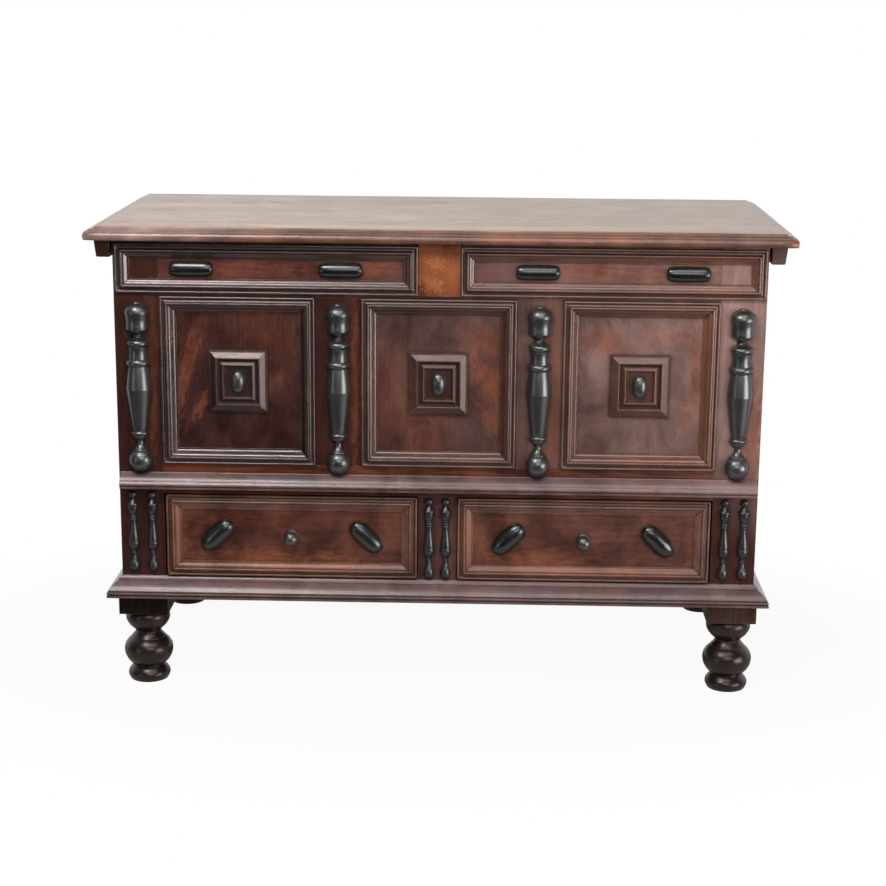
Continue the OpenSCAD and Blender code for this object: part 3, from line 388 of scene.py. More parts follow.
def build_mitred():
    """Turns the grain along each member of a mitred frame, and draws its four mitre lines."""
    tree, given, end = new_group(
        "Mitred Frame",
        {"Place": ORIGIN, "Centre": ORIGIN, "Half": (0.1, 0.0, 0.1)},
        ("Vector", "Mitre"),
    )
    line_core = 0.0002
    line_edge = 0.0016
    local = calc_vector(tree, "SUBTRACT", given["Place"], given["Centre"])
    size = calc_vector(tree, "ABSOLUTE", local)
    near = split(tree, calc_vector(tree, "SUBTRACT", given["Half"], size))
    upright = calc(tree, "LESS_THAN", near["X"], near["Z"])
    part = split(tree, local)
    crossed = joined(tree, part["Z"], part["Y"], part["X"])
    # A Mix node's vectors are its inputs 4 and 5 and its output 1
    inputs = {0: upright, 4: local, 5: crossed}
    turned = place(tree, "Mix", inputs, data_type="VECTOR").outputs[1]
    apart = calc(tree, "ABSOLUTE", minus(tree, near["X"], near["Z"]))
    mitre = inverse(tree, step(tree, apart, line_core, line_edge))
    fill(tree, end, {"Vector": turned, "Mitre": mitre})


def build_stained():
    """Stained wood: grain, mottled stain drifting with painted light, rubbed patches, grime in
    the pores, painted shade in the quirks, dark mitre joints, and bare arrises lightened as
    painted highlights.
    """
    tree, given, end = new_group(
        "Stained Wood",
        {
            "Vector": ORIGIN, "Place": ORIGIN, "Tone": BLACK, "Faded": BLACK, "Rubbed": BLACK,
            "Bare": BLACK, "Grime": BLACK, "Seed": 0.0, "Band": 0.014, "Streak": 0.8,
            "Mottle": 0.8, "Fade": 0.7, "Towards": (1.0, 0.0, 0.0), "Start": -0.30,
            "Full": 0.66, "Rubbing": 0.3, "Worn": 0.0, "Wear": 0.5, "Dirt": 0.8, "Line": 0.0,
            "Gloss": 0.42, "Polish": 0.25, "Arris": 0.0012, "Quirk": 0.009, "Hollow": 0.82,
        },
        FINISH_RESULTS,
    )
    dark_grain, light_grain = (0.34, 0.26, 0.25, 1.0), (1.50, 1.62, 1.56, 1.0)
    soft_dark, soft_light = (0.62, 0.55, 0.54, 1.0), (1.38, 1.45, 1.42, 1.0)
    ring_share, usual_figure = 0.25, 0.58
    least_threads, more_threads = 0.08, 0.45
    least_coat, coat_lost_in_hollows = 0.15, 0.9
    fibre_height, swell_height, pore_depth = 0.18, 1.4, 0.35
    pore_dirt = 0.45
    where = given["Place"]
    grain = use_group(tree, "Wood Grain", passed(given, "Vector", "Seed", "Band"))
    edges = use_group(tree, "Edges", passed(given, "Place", "Arris", "Quirk", "Hollow"))

    cloud = speckle(tree, where, (4.2, 4.2, 3.4), detail=5.0, roughness=0.62, distortion=0.7)
    mottle = speckle(tree, where, (13.0, 13.0, 10.0), detail=5.0, roughness=0.6, distortion=0.5)
    streaks = plus(tree, grain["Figure"], times(tree, grain["Rings"], ring_share))
    streaks = swing(tree, streaks, given["Streak"], middle=usual_figure)
    spots = swing(tree, mottle, given["Mottle"])
    threads = plus(tree, least_threads, times(tree, given["Streak"], more_threads))
    fine = swing(tree, grain["Fibre"], threads)
    tone = step(tree, plus(tree, 0.5, streaks, spots, fine), 0.10, 0.95)
    wood = tinted(tree, given["Tone"], mixed(tree, tone, dark_grain, light_grain))
    softer = mixed(tree, tone, soft_dark, soft_light)

    # Painted light: along Towards the stain drifts to its drift tone, standing in for the light
    # and sheen that fall unevenly
    towards = calc_vector(tree, "DOT_PRODUCT", where, given["Towards"], result="Value")
    fade = times(tree, step(tree, towards, given["Start"], given["Full"]), given["Fade"])
    fade = times(tree, fade, plus(tree, 0.95, swing(tree, cloud, 1.4)), clamp=True)
    wood = mixed(tree, fade, wood, tinted(tree, given["Faded"], softer))
    torn = plus(tree, cloud, swing(tree, grain["Fibre"], 0.30))
    patch = times(tree, step(tree, torn, 0.52, 0.76), given["Rubbing"])
    patch = calc(tree, "MAXIMUM", patch, given["Worn"], clamp=True)
    wood = mixed(tree, patch, wood, tinted(tree, given["Rubbed"], softer))
    wood = mixed(tree, times(tree, grain["Pores"], pore_dirt), wood, given["Grime"])
    # Bare wood on the arrises, also a painted highlight along the ridges
    wood = mixed(tree, times(tree, edges["Arris"], given["Wear"]), wood, given["Bare"])
    # Painted shade: the quirks are darkened towards the grime colour, together with the dark
    # mitre joints
    dirt = times(tree, calc(tree, "MAXIMUM", edges["Quirk"], given["Line"]), given["Dirt"])
    wood = mixed(tree, dirt, wood, given["Grime"])

    smear = speckle(tree, where, 11.0, detail=4.0)
    dull = swing(tree, smear, 0.36)
    rough = plus(tree, given["Gloss"], dull, times(tree, dirt, 0.3), clamp=True)
    coat = plus(tree, least_coat, plus(tree, smear, grain["Fibre"]))
    coat = times(tree, given["Polish"], coat)
    clean = inverse(tree, times(tree, dirt, coat_lost_in_hollows))
    coat = times(tree, coat, clean, clamp=True)
    swell = speckle(tree, where, 24.0, detail=2.0)
    fibres = times(tree, grain["Fibre"], fibre_height)
    height = plus(tree, fibres, times(tree, swell, swell_height))
    height = minus(tree, height, times(tree, grain["Pores"], pore_depth))
    results = {
        "Color": wood, "Roughness": rough, "Coat": coat, "Height": height,
        "Normal": edges["Normal"],
    }
    fill(tree, end, results)


def build_ebonised():
    """Black stain on turned wood: rubbed thin on the rims, dull in the coves and darkened there
    with painted shade.
    """
    tree, given, end = new_group(
        "Ebonised Wood",
        {
            "Place": ORIGIN, "Black": BLACK, "Rubbed": BLACK, "Grime": BLACK, "Thin": 0.35,
            "Wear": 0.7, "Gloss": 0.34, "Polish": 0.6, "Arris": 0.0012, "Quirk": 0.005,
        },
        FINISH_RESULTS,
    )
    fleck_share, quirk_shade, fibre_height = 0.30, 0.5, 0.25
    coat_lost_in_quirks = 0.6
    where, rubbed = given["Place"], given["Rubbed"]
    edges = use_group(tree, "Edges", passed(given, "Place", "Arris", "Quirk"))

    cloud = speckle(tree, where, (16.0, 16.0, 9.0), detail=5.0, roughness=0.65)
    thin = times(tree, step(tree, cloud, 0.50, 0.76), given["Thin"])
    black = mixed(tree, thin, given["Black"], rubbed)
    black = mixed(tree, times(tree, edges["Arris"], given["Wear"]), black, rubbed)
    fleck = step(tree, speckle(tree, where, 620.0, detail=1.0), 0.70, 0.78)
    black = mixed(tree, times(tree, fleck, fleck_share), black, rubbed)
    # Painted shade: the coves are darkened towards the grime colour
    black = mixed(tree, times(tree, edges["Quirk"], quirk_shade), black, given["Grime"])

    smear = speckle(tree, where, (30.0, 30.0, 12.0), detail=4.0)
    rough = plus(tree, given["Gloss"], swing(tree, smear, 0.34))
    rough = plus(tree, rough, times(tree, edges["Quirk"], 0.2), clamp=True)
    coat = times(tree, given["Polish"], plus(tree, 0.5, smear))
    clean = inverse(tree, times(tree, edges["Quirk"], coat_lost_in_quirks))
    coat = times(tree, coat, clean, clamp=True)
    fibre = speckle(tree, where, (420.0, 420.0, 26.0), detail=2.0)
    swell = speckle(tree, where, (55.0, 55.0, 40.0), detail=2.0)
    results = {
        "Color": black, "Roughness": rough, "Coat": coat,
        "Height": plus(tree, times(tree, fibre, fibre_height), swell),
        "Normal": edges["Normal"],
    }
    fill(tree, end, results)


# Materials


def new_material(name):
    material = bpy.data.materials.new(name)
    material.use_nodes = True
    material.node_tree.nodes.clear()
    return material, material.node_tree


def stain_colour(name):
    """One of the finishes' colours, with its alpha."""
    return (*getattr(bpy.context.scene.chest_stains, name), 1.0)


def object_place(tree):
    return place(tree, "TexCoord").outputs["Object"]


def close_material(material, tree, surface, bump, depth, specular, coat_roughness, tint):
    """Joins a finish group's outputs to a shader."""
    inputs = {"Strength": bump, "Distance": depth, **passed(surface, "Height", "Normal")}
    relief = place(tree, "Bump", inputs).outputs[0]
    inputs = {
        "Base Color": surface["Color"], "Roughness": surface["Roughness"], "Normal": relief,
        "Specular IOR Level": specular, "Specular Tint": (*tint, 1.0),
        "Coat Weight": surface["Coat"], "Coat Roughness": coat_roughness,
    }
    shader = place(tree, "BsdfPrincipled", inputs)
    place(tree, "OutputMaterial", {"Surface": shader.outputs[0]})
    return material


def on_front(x, z, half_width, half_height, share, lean=0.0, y=FRONT_Y):
    """A worn place on the front: its centre, reach, lean and amount."""
    return (x, y, z), (half_width, PATCH_DEPTH, half_height), lean, share


def on_lid(x, y, half_width, half_depth, share):
    """A worn place on the lid's top."""
    return (x, y, LID_TOP_Z), (half_width, half_depth, PATCH_DEPTH), 0.0, share


def wood_material(
    name, tone, turn="along", seed=0.0, mitred=None, patches=(), strokes=STROKES_UPRIGHT,
    faded="faded", rubbed="rubbed", arris=1.0, quirk=1.0, specular=0.25, coat_roughness=0.26,
    tint=(1.0, 0.88, 0.87), **amounts,
):
    """A stained wood. Tone, the drift's tone (painted light) and rubbed name its colours, arris
    and quirk scale the reach of the worn, highlighted arrises and of the painted shade and grime
    in corners, mitred is a frame's centre and half size, and amounts fill the group's inputs of
    the same names."""
    wear = bpy.context.scene.chest_wear
    material, tree = new_material(name)
    point = object_place(tree)
    line = 0.0
    if mitred:
        centre, half = mitred
        turned = use_group(
            tree, "Mitred Frame", {"Place": point, "Centre": centre, "Half": half}
        )
        vector, line = turned["Vector"], turned["Mitre"]
    else:
        inputs = {"Vector": point, "Rotation": TURN_TO_X[turn]}
        vector = place(tree, "Mapping", inputs).outputs["Vector"]
    worn = 0.0
    for centre, reach, lean, share in patches:
        inputs = {
            "Place": point, "Centre": centre, "Reach": reach, "Strokes": strokes, "Lean": lean,
            "Amount": share, "Others": worn,
        }
        worn = use_group(tree, "Worn Patch", inputs)["Worn"]
    inputs = {
        "Vector": vector, "Place": point, "Tone": stain_colour(tone),
        "Faded": stain_colour(faded), "Rubbed": stain_colour(rubbed),
        "Bare": stain_colour("bare_and_highlight"), "Grime": stain_colour("grime_and_shade"), "Seed": seed,
        "Line": line, "Worn": worn, "Arris": arris * wear.arris, "Quirk": quirk * wear.quirk,
    }
    inputs.update({key.capitalize(): value for key, value in amounts.items()})
    surface = use_group(tree, "Stained Wood", inputs)
    return close_material(
        material, tree, surface, bump=0.35, depth=0.0007, specular=specular,
        coat_roughness=coat_roughness, tint=tint,
    )


def brass_material():
    """Dull brass with tarnish and drawn scratches."""
    material, tree = new_material("dull_brass")
    point = object_place(tree)
    tarnish = step(tree, speckle(tree, point, 90.0, detail=5.0, roughness=0.65), 0.42, 0.68)
    tone = mixed(tree, tarnish, stain_colour("brass"), stain_colour("brass_dark"))
    rough = plus(tree, 0.32, times(tree, tarnish, 0.28))
    scratch = speckle(tree, point, (900.0, 60.0, 900.0), detail=2.0)
    inputs = {"Strength": 0.2, "Distance": 0.0003, "Height": scratch}
    relief = place(tree, "Bump", inputs).outputs[0]
    inputs = {"Base Color": tone, "Roughness": rough, "Metallic": 1.0, "Normal": relief}
    shader = place(tree, "BsdfPrincipled", inputs)
    place(tree, "OutputMaterial", {"Surface": shader.outputs[0]})
    return material


def finish(names, material):
    """Gives nodes of the frame their material."""
    for name in names:
        part = nodes[name]
        part.data.materials.clear()
        part.data.materials.append(material)


def stain(names, material_name, tone, turn="along", seed=0.0, **amounts):
    """Gives nodes of the frame a stained wood of their own."""
    finish(names, wood_material(material_name, tone, turn, seed, **amounts))


def ebonise(
    names, material_name, specular, black="ebony", rubbed="ebony_rubbed",
    tint=(1.0, 1.0, 1.0), **amounts,
):
    """Blackens turned pieces. Amounts fill the group's inputs of the same names."""
    turning_quirk = 0.36
    wear = bpy.context.scene.chest_wear
    material, tree = new_material(material_name)
    inputs = {
        "Place": object_place(tree), "Black": stain_colour(black),
        "Rubbed": stain_colour(rubbed), "Grime": stain_colour("grime_and_shade"), "Arris": wear.arris,
        "Quirk": turning_quirk * wear.quirk,
    }
    inputs.update({key.capitalize(): value for key, value in amounts.items()})
    surface = use_group(tree, "Ebonised Wood", inputs)
    close_material(
        material, tree, surface, bump=0.30, depth=0.0006, specular=specular,
        coat_roughness=0.22, tint=tint,
    )
    finish(names, material)


def middle_and_half(name):
    low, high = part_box(name)
    return (low + high) / 2, (high - low) / 2


# Pieces


class CHEST_OT_effects(bpy.types.Operator):
    """Builds the shared effects: grain, worn edges, patches, mitres, stained and ebonised wood"""

    bl_idname = "chest.effects"
    bl_label = "Shared Effects"

    def execute(self, context):
        for build in (
            build_grain, build_edges, build_patch, build_mitred, build_stained, build_ebonised,
        ):
            build()
        return {"FINISHED"}


class CHEST_OT_case(bpy.types.Operator):
    """Stains the stiles, rails, muntins, sides and back of the case"""

    bl_idname = "chest.case"
    bl_label = "Case"

    def execute(self, context):
        self.stain_ends()
        self.stain_front()
        self.stain_back()
        return {"FINISHED"}

    def stain_ends(self):
        worn = {
            "left": [on_front(-0.560, 0.62, 0.012, 0.20, 0.28)],
            "right": [on_front(0.615, 0.53, 0.035, 0.11, 0.65)],
        }
        for seed, side in enumerate(SIDES):
            # The front stiles drift to a paler tone towards the right end and the top: painted
            # light and sheen
            stain(
                [f"front_stile_{side}"], f"stile_{side}", "stile", "upright", 1.3 + seed,
                patches=worn[side], streak=0.5, fade=0.95, towards=(1.0, 0.0, 1.2),
                start=0.97, full=1.24, rubbing=0.35, wear=0.5, gloss=0.46,
            )
            stain(
                [f"rear_stile_{side}"], f"rear_stile_{side}", "stile", "upright", 3.9 + seed,
                fade=0.2, rubbing=0.25, wear=0.4, gloss=0.52,
            )
            stain(
                [f"side_rails_{side}"], f"side_rail_{side}", "stile", "deep", 5.2 + seed,
                fade=0.3, rubbing=0.35, wear=0.4, gloss=0.48,
            )
            stain(
                [f"side_panels_{side}"], f"side_panel_{side}", "panel", "upright", 8.1 + seed,
                band=0.022, streak=0.5, fade=0.35, rubbing=0.45, wear=0.3, gloss=0.46,
            )

    def stain_front(self):
        stain(
            ["front_top_rail"], "top_rail", "field", "along", 2.7, strokes=STROKES_ALONG,
            patches=[
                on_front(-0.417, 0.847, 0.045, 0.016, 0.40),
                on_front(-0.311, 0.848, 0.060, 0.014, 0.50, lean=0.3),
                on_front(-0.141, 0.850, 0.050, 0.018, 0.60, lean=-0.3),
                on_front(0.293, 0.849, 0.100, 0.012, 0.65),
                on_front(0.410, 0.843, 0.200, 0.022, 0.40),
            ],
            streak=0.5, mottle=1.5, fade=0.70, rubbing=0.6, wear=0.4, gloss=0.42,
        )
        stain(
            ["front_muntins"], "muntin", "stile", "upright", 6.4,
            patches=[
                on_front(-0.163, 0.62, 0.010, 0.20, 0.40),
                on_front(0.225, 0.60, 0.030, 0.22, 0.50),
            ],
            streak=0.5, fade=0.58, start=-0.15, full=0.45, rubbing=0.35, wear=0.5, gloss=0.44,
        )
        stain(
            ["front_middle_rail"], "rail_strip", "strip", "along", 0.6,
            streak=1.0, mottle=1.2, fade=0.15, rubbing=0.55, gloss=0.40, polish=0.2,
        )
        stain(
            ["drawer_divider"], "divider", "stile", "upright", 2.2,
            fade=0.3, rubbing=0.45, wear=0.5, gloss=0.46,
        )
        stain(
            ["front_bottom_rail"], "bottom_rail", "stile", "along", 3.4,
            rubbing=0.3, wear=0.5, gloss=0.46,
        )
        low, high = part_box("centre_plaque")
        stain(
            ["centre_plaque"], "plaque", "amber", "upright", 9.3, strokes=STROKES_PLAQUE,
            patches=[
                on_front(
                    low.x + 0.033, high.z - 0.038, 0.024, 0.020, 0.42, lean=0.4, y=PLAQUE_Y
                ),
                on_front(low.x + 0.026, low.z + 0.022, 0.026, 0.018, 0.55, y=PLAQUE_Y),
                on_front(low.x + 0.064, high.z - 0.055, 0.016, 0.030, 0.22, y=PLAQUE_Y),
            ],
            rubbed="amber_light", band=0.02, streak=0.5, mottle=2.6, fade=0.0, rubbing=0.3,
            gloss=0.40, polish=0.3,
        )

    def stain_back(self):
        stain(
            ["rear_top_rail", "rear_lower_rails"], "rear_frame", "stile", "along", 4.4,
            fade=0.2, rubbing=0.25, wear=0.35, gloss=0.56,
        )
        stain(
            ["rear_muntins"], "rear_muntin", "stile", "upright", 7.7,
            fade=0.2, rubbing=0.2, gloss=0.56,
        )
        stain(
            ["back_panels"], "back_panel", "plain", "upright", 1.9,
            band=0.02, fade=0.0, rubbing=0.1, gloss=0.62, polish=0.0,
        )


class CHEST_OT_panels(bpy.types.Operator):
    """Stains the three front panels and the ornaments on them"""

    bl_idname = "chest.panels"
    bl_label = "Panels"

    def execute(self, context):
        worn = {
            "left": [
                on_front(-0.505, 0.615, 0.020, 0.15, 0.60, lean=-0.30),
                on_front(-0.462, 0.585, 0.014, 0.06, 0.50, lean=-0.55),
                on_front(-0.480, 0.705, 0.022, 0.05, 0.25, lean=-0.5),
                on_front(-0.300, 0.690, 0.040, 0.09, 0.18, lean=0.2),
            ],
            "centre": [
                on_front(0.096, 0.706, 0.048, 0.045, 0.65, lean=0.6),
                on_front(0.100, 0.628, 0.036, 0.070, 0.80, lean=0.6),
                on_front(0.110, 0.548, 0.030, 0.055, 0.60, lean=0.6),
                on_front(-0.095, 0.560, 0.030, 0.10, 0.18, lean=0.2),
            ],
            "right": [
                on_front(0.322, 0.712, 0.050, 0.034, 0.55, lean=0.5),
                on_front(0.500, 0.660, 0.014, 0.13, 0.60),
                on_front(0.440, 0.725, 0.050, 0.022, 0.40),
                on_front(0.485, 0.570, 0.020, 0.060, 0.40),
            ],
        }
        for index, panel in enumerate(PANELS):
            # The panels drift to a paler tone towards the right and upwards: painted light and
            # sheen
            stain(
                [f"front_panel_{panel}"], f"panel_{panel}", "panel", "upright",
                2.2 + 1.7 * index, patches=worn[panel], band=0.03, streak=0.22, mottle=1.9,
                fade=0.66, towards=(1.0, 0.0, 0.6), start=0.08, full=1.04, rubbing=0.4,
                wear=0.3, gloss=0.40, polish=0.3,
            )
        # Towards the right the ornaments drift to a browner, lighter tone: partly wear, partly
        # painted light
        stain(
            ["square_ornaments"], "ornament", "moulding", "along", 5.5, faded="moulding_worn_and_lit",
            streak=0.7, mottle=1.4, fade=0.5, rubbing=0.2, wear=0.4, dirt=1.0, arris=1.2,
            quirk=1.3, hollow=0.94, specular=0.70, gloss=0.36, polish=0.15,
            coat_roughness=0.20, tint=(1.0, 0.76, 0.71),
        )
        return {"FINISHED"}


class CHEST_OT_mouldings(bpy.types.Operator):
    """Stains the mitred frames, the middle and base mouldings, the cleats and the blocks"""

    bl_idname = "chest.mouldings"
    bl_label = "Mouldings"

    def execute(self, context):
        framed = [f"upper_moulding_{side}" for side in SIDES]
        framed += [f"panel_moulding_{panel}" for panel in PANELS]
        for index, name in enumerate(framed):
            # Towards the right the frames drift to a browner, lighter tone: partly wear, partly
            # painted light
            stain(
                [name], name, "moulding", seed=1.1 * index, mitred=middle_and_half(name),
                faded="moulding_worn_and_lit", band=0.009, streak=0.35, mottle=1.6, fade=0.9,
                rubbing=0.45, wear=0.75, dirt=1.0, arris=1.2, quirk=1.3, hollow=0.95,
                specular=0.90, gloss=0.30, polish=0.30, coat_roughness=0.18,
                tint=(1.0, 0.80, 0.76),
            )
        # The middle moulding's right end drifts to a paler tone: painted light and sheen
        stain(
            ["mid_moulding", "base_moulding"], "moulding_run", "ledge", "along", 3.3,
            band=0.008, streak=0.4, mottle=1.0, fade=0.45, towards=(1.0, 0.0, 1.8), start=1.00,
            full=1.34, rubbing=0.35, wear=0.7, dirt=0.9, quirk=1.2, hollow=0.92,
            specular=0.44, gloss=0.36, polish=0.30, coat_roughness=0.22,
        )
        stain(
            ["lid_cleats"], "cleat", "stile", "deep", 6.1,
            fade=0.4, rubbing=0.3, wear=0.6, gloss=0.5,
        )
        # Blocks darkened as painted shade under the base moulding
        stain(
            ["plinth_blocks"], "block", "block", "upright", 7.2,
            fade=0.10, rubbing=0.1, wear=0.5, gloss=0.5, polish=0.0, specular=0.08,
        )
        return {"FINISHED"}


class CHEST_OT_turnings(bpy.types.Operator):
    """Blackens the spindles, bosses, knobs and feet"""

    bl_idname = "chest.turnings"
    bl_label = "Turnings"

    def execute(self, context):
        knobs = [f"drawer_knob_{side}" for side in SIDES]
        bosses = [f"drawer_bosses_{side}" for side in SIDES]
        ebonise(
            ["large_split_spindles", "panel_bosses", *knobs], "ebonised_turning",
            specular=1.0, thin=0.3, polish=0.8, gloss=0.42,
        )
        ebonise(
            ["upper_bosses", *bosses], "ebonised_drawer",
            specular=0.55, thin=0.2, polish=0.45, gloss=0.28,
        )
        ebonise(
            ["small_split_spindles"], "ebonised_slim",
            specular=0.50, thin=0.6, polish=0.6, gloss=0.42,
        )
        ebonise(
            ["turned_feet"], "ebonised_foot", specular=0.32, black="foot",
            rubbed="foot_rubbed", tint=(1.0, 0.80, 0.73), thin=0.30, wear=0.8, polish=0.25,
            gloss=0.34,
        )
        return {"FINISHED"}


class CHEST_OT_drawers(bpy.types.Operator):
    """Stains the drawer fronts and their mouldings, and leaves the drawers' insides plain"""

    bl_idname = "chest.drawers"
    bl_label = "Drawers"

    def execute(self, context):
        worn = {
            "left": [
                on_front(-0.360, 0.268, 0.190, 0.020, 0.70),
                on_front(-0.513, 0.300, 0.016, 0.050, 0.60),
                on_front(-0.420, 0.345, 0.080, 0.018, 0.30),
            ],
            "right": [
                on_front(0.190, 0.272, 0.180, 0.018, 0.65),
                on_front(0.502, 0.300, 0.012, 0.050, 0.60),
                on_front(0.062, 0.310, 0.012, 0.050, 0.70),
            ],
        }
        raw = {"fade": 0.0, "rubbing": 0.05, "polish": 0.0, "gloss": 0.6}
        for seed, side in enumerate(SIDES):
            stain(
                [f"drawer_front_{side}"], f"drawer_front_{side}", "drawer", "along",
                4.8 + 2.1 * seed, patches=worn[side], strokes=STROKES_ALONG, band=0.02,
                streak=0.40, mottle=1.8, fade=0.10, rubbing=0.25, gloss=0.42, polish=0.3,
            )
            low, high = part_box(f"drawer_front_{side}")
            middle = (low + high) / 2
            name = f"drawer_moulding_{side}"
            stain(
                [name], name, "drawer_frame", seed=7.5 + seed, mitred=middle_and_half(name),
                # Patches on the bottom and left members, which face the light: wear, and painted
                # light there
                patches=[
                    on_front(middle.x - 0.02, low.z + 0.020, 0.26, 0.020, 0.60),
                    on_front(low.x + 0.022, middle.z, 0.020, 0.085, 0.45),
                ],
                band=0.009, streak=0.5, mottle=1.4, fade=0.1, rubbing=0.4, wear=0.9, dirt=1.0,
                quirk=1.2, hollow=0.94, specular=0.60, gloss=0.32, polish=0.25,
                tint=(1.0, 0.76, 0.68),
            )
            name = f"drawer_box_{side}"
            stain([name], name, "plain", "deep", 2.0 + seed, **raw)
            name = f"drawer_bottom_{side}"
            stain([name], name, "plain", "along", 5.0 + seed, band=0.02, **raw)
        return {"FINISHED"}


class CHEST_OT_inside(bpy.types.Operator):
    """Gives the floor, runners, guides, kickers and stops their plain wood"""

    bl_idname = "chest.inside"
    bl_label = "Inside"

    def execute(self, context):
        raw = {"fade": 0.0, "rubbing": 0.05, "polish": 0.0, "gloss": 0.64}
        ways = [f"drawer_{kind}" for kind in ("runners", "guides", "kickers", "stops")]
        stain(["chest_floor"], "floor_boards", "plain", "deep", 3.1, band=0.022, **raw)
        stain(["floor_bearers"], "bearers", "plain", "along", 6.6, **raw)
        stain(ways, "drawer_ways", "plain", "deep", 8.8, **raw)
        return {"FINISHED"}


class CHEST_OT_lid(bpy.types.Operator):
    """Makes the lid's board from its solid, with hand-planed waves, dents and worn corners"""

    bl_idname = "chest.lid"
    bl_label = "Lid"

    def execute(self, context):
        wear = context.scene.chest_wear
        low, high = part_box("lid_board")
        shape = bmesh.new()
        shape.from_mesh(nodes["lid_board"].data)
        self.cut_grid(shape, low, high, wear.grid)
        for vert in shape.verts:
            self.wear_down(vert, low, high, wear)
        board = bpy.data.meshes.new("lid_board_worn")
        shape.to_mesh(board)
        shape.free()
        board.shade_smooth()
        board.set_sharp_from_angle(angle=SHARP_EDGE)
        lid = bpy.data.objects.new("lid_board_worn", board)
        context.scene.collection.objects.link(lid)
        board.materials.append(self.top_finish())
        board.materials.append(self.edge_finish())
        for face in board.polygons:
            centre = face.center
            inset = min(centre.x - low.x, high.x - centre.x, centre.y - low.y)
            face.material_index = 1 if inset < wear.edge else 0
        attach(lid, "lid")
        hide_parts("lid_board")
        return {"FINISHED"}

    def cut_grid(self, shape, low, high, spacing):
        """Merges the solid's triangles and cuts the board into a grid that can undulate."""
        bmesh.ops.remove_doubles(shape, verts=shape.verts, dist=1e-5)
        bmesh.ops.dissolve_limit(
            shape, angle_limit=FLAT_ENOUGH, verts=shape.verts, edges=shape.edges
        )
        for axis in (0, 1):
            count = int((high[axis] - low[axis]) / spacing)
            for index in range(1, count):
                across = Vector((1.0 - axis, axis, 0.0))
                cut = across * (low[axis] + (high[axis] - low[axis]) * index / count)
                geometry = shape.verts[:] + shape.edges[:] + shape.faces[:]
                bmesh.ops.bisect_plane(
                    shape, geom=geometry, dist=1e-6, plane_co=cut, plane_no=across
                )
        bmesh.ops.triangulate(shape, faces=shape.faces)

    def wear_down(self, vert, low, high, wear):
        """Moves one point of the board by the waves, the dents and the corners' wear."""
        rim, underside, corner_reach = 0.012, 0.9, 0.022
        waves_along, waves_across, wave_slice, crest = 3.0, 6.0, 0.4, 0.6
        dents_across, dents_up, least_dent = 55.0, 40.0, 0.12
        point = vert.co.copy()
        from_side = min(point.x - low.x, high.x - point.x)
        from_front = point.y - low.y
        top = (point.z - low.z) / (high.z - low.z)
        crossed = (point.x * waves_along, point.y * waves_across, wave_slice)
        wave = noise.noise(Vector(crossed)) - crest
        vert.co.z += wear.undulation * min(0.0, wave) * top
        if min(from_side, from_front) < rim and top < underside:
            knocked = (point.x * dents_across, point.y * dents_across, point.z * dents_up)
            bite = wear.dents * max(0.0, noise.noise(Vector(knocked)) - least_dent)
            if from_front < rim:
                vert.co.y += bite
            elif from_front > rim:
                vert.co.x -= math.copysign(bite, point.x)
        corner = max(0.0, 1.0 - math.hypot(from_side, from_front) / corner_reach)
        vert.co.x -= math.copysign(wear.corner * corner, point.x)
        vert.co.y += wear.corner * corner

    def top_finish(self):
        # The lid darkens towards the right and back: painted shade where less light falls
        return wood_material(
            "lid", "lid", "along", 1.0,
            patches=[
                on_lid(-0.012, 0.188, 0.030, 0.020, 0.9),
                on_lid(0.608, -0.128, 0.012, 0.016, 0.8),
                on_lid(-0.621, -0.211, 0.026, 0.014, 0.5),
                on_lid(0.292, 0.160, 0.020, 0.012, 0.5),
            ],
            rubbed="lid_knot", faded="lid_shaded", band=0.03, streak=0.8, mottle=0.5, fade=0.9,
            towards=(1.0, 0.5, 0.0), start=-0.45, full=0.34, rubbing=0.0, wear=0.8,
            specular=0.5, gloss=0.42, polish=0.4, coat_roughness=0.24, tint=(1.0, 0.92, 0.85),
        )

    def edge_finish(self):
        # At its left end the edge drifts to the pale drift tone: a painted highlight on the nose
        return wood_material(
            "lid_edge", "lid_edge", "along", 4.0,
            patches=[
                on_front(0.26, 0.915, 0.30, 0.03, 0.75, y=LID_EDGE_Y),
                ((0.683, -0.305, 0.915), (0.022, 0.03, 0.03), 0.0, 1.0),
                on_front(-0.25, 0.908, 0.20, 0.012, 0.45, y=LID_EDGE_Y),
            ],
            band=0.02, streak=0.5, mottle=1.6, fade=0.90, towards=(-1.0, 0.0, 0.0),
            start=0.30, full=0.60, rubbing=0.6, wear=0.8, specular=0.60, gloss=0.38,
            polish=0.45, tint=(1.0, 0.82, 0.76),
        )


class CHEST_OT_hinges(bpy.types.Operator):
    """Gives the hinges their brass"""

    bl_idname = "chest.hinges"
    bl_label = "Hinges"

    def execute(self, context):
        fittings = ("case_leaves", "lid_leaves", "pins", "case_screws", "lid_screws")
        finish([f"hinge_{fitting}" for fitting in fittings], brass_material())
        return {"FINISHED"}


CHEST_MIDDLE = (0.0, 0.0, 0.5)
FRONT_MIDDLE = (0.0, -0.2, 0.45)
# Each light's name, the property that holds its power, its place, its aim, its width and height
LIGHTS = (
    ("overhead_left", "overhead_left", (-0.85, -1.6, 2.6), CHEST_MIDDLE, (1.1, 0.7)),
    ("overhead_right", "overhead_right", (0.6, -1.6, 2.6), CHEST_MIDDLE, (1.6, 0.7)),
    ("key", "key_light", (0.4, -3.1, 1.9), CHEST_MIDDLE, (2.0, 0.8)),
    ("left", "left_light", (-2.6, -2.6, 0.5), FRONT_MIDDLE, (0.8, 1.5)),
    ("right", "right_light", (2.9, -2.2, 0.45), FRONT_MIDDLE, (1.8, 1.5)),
)


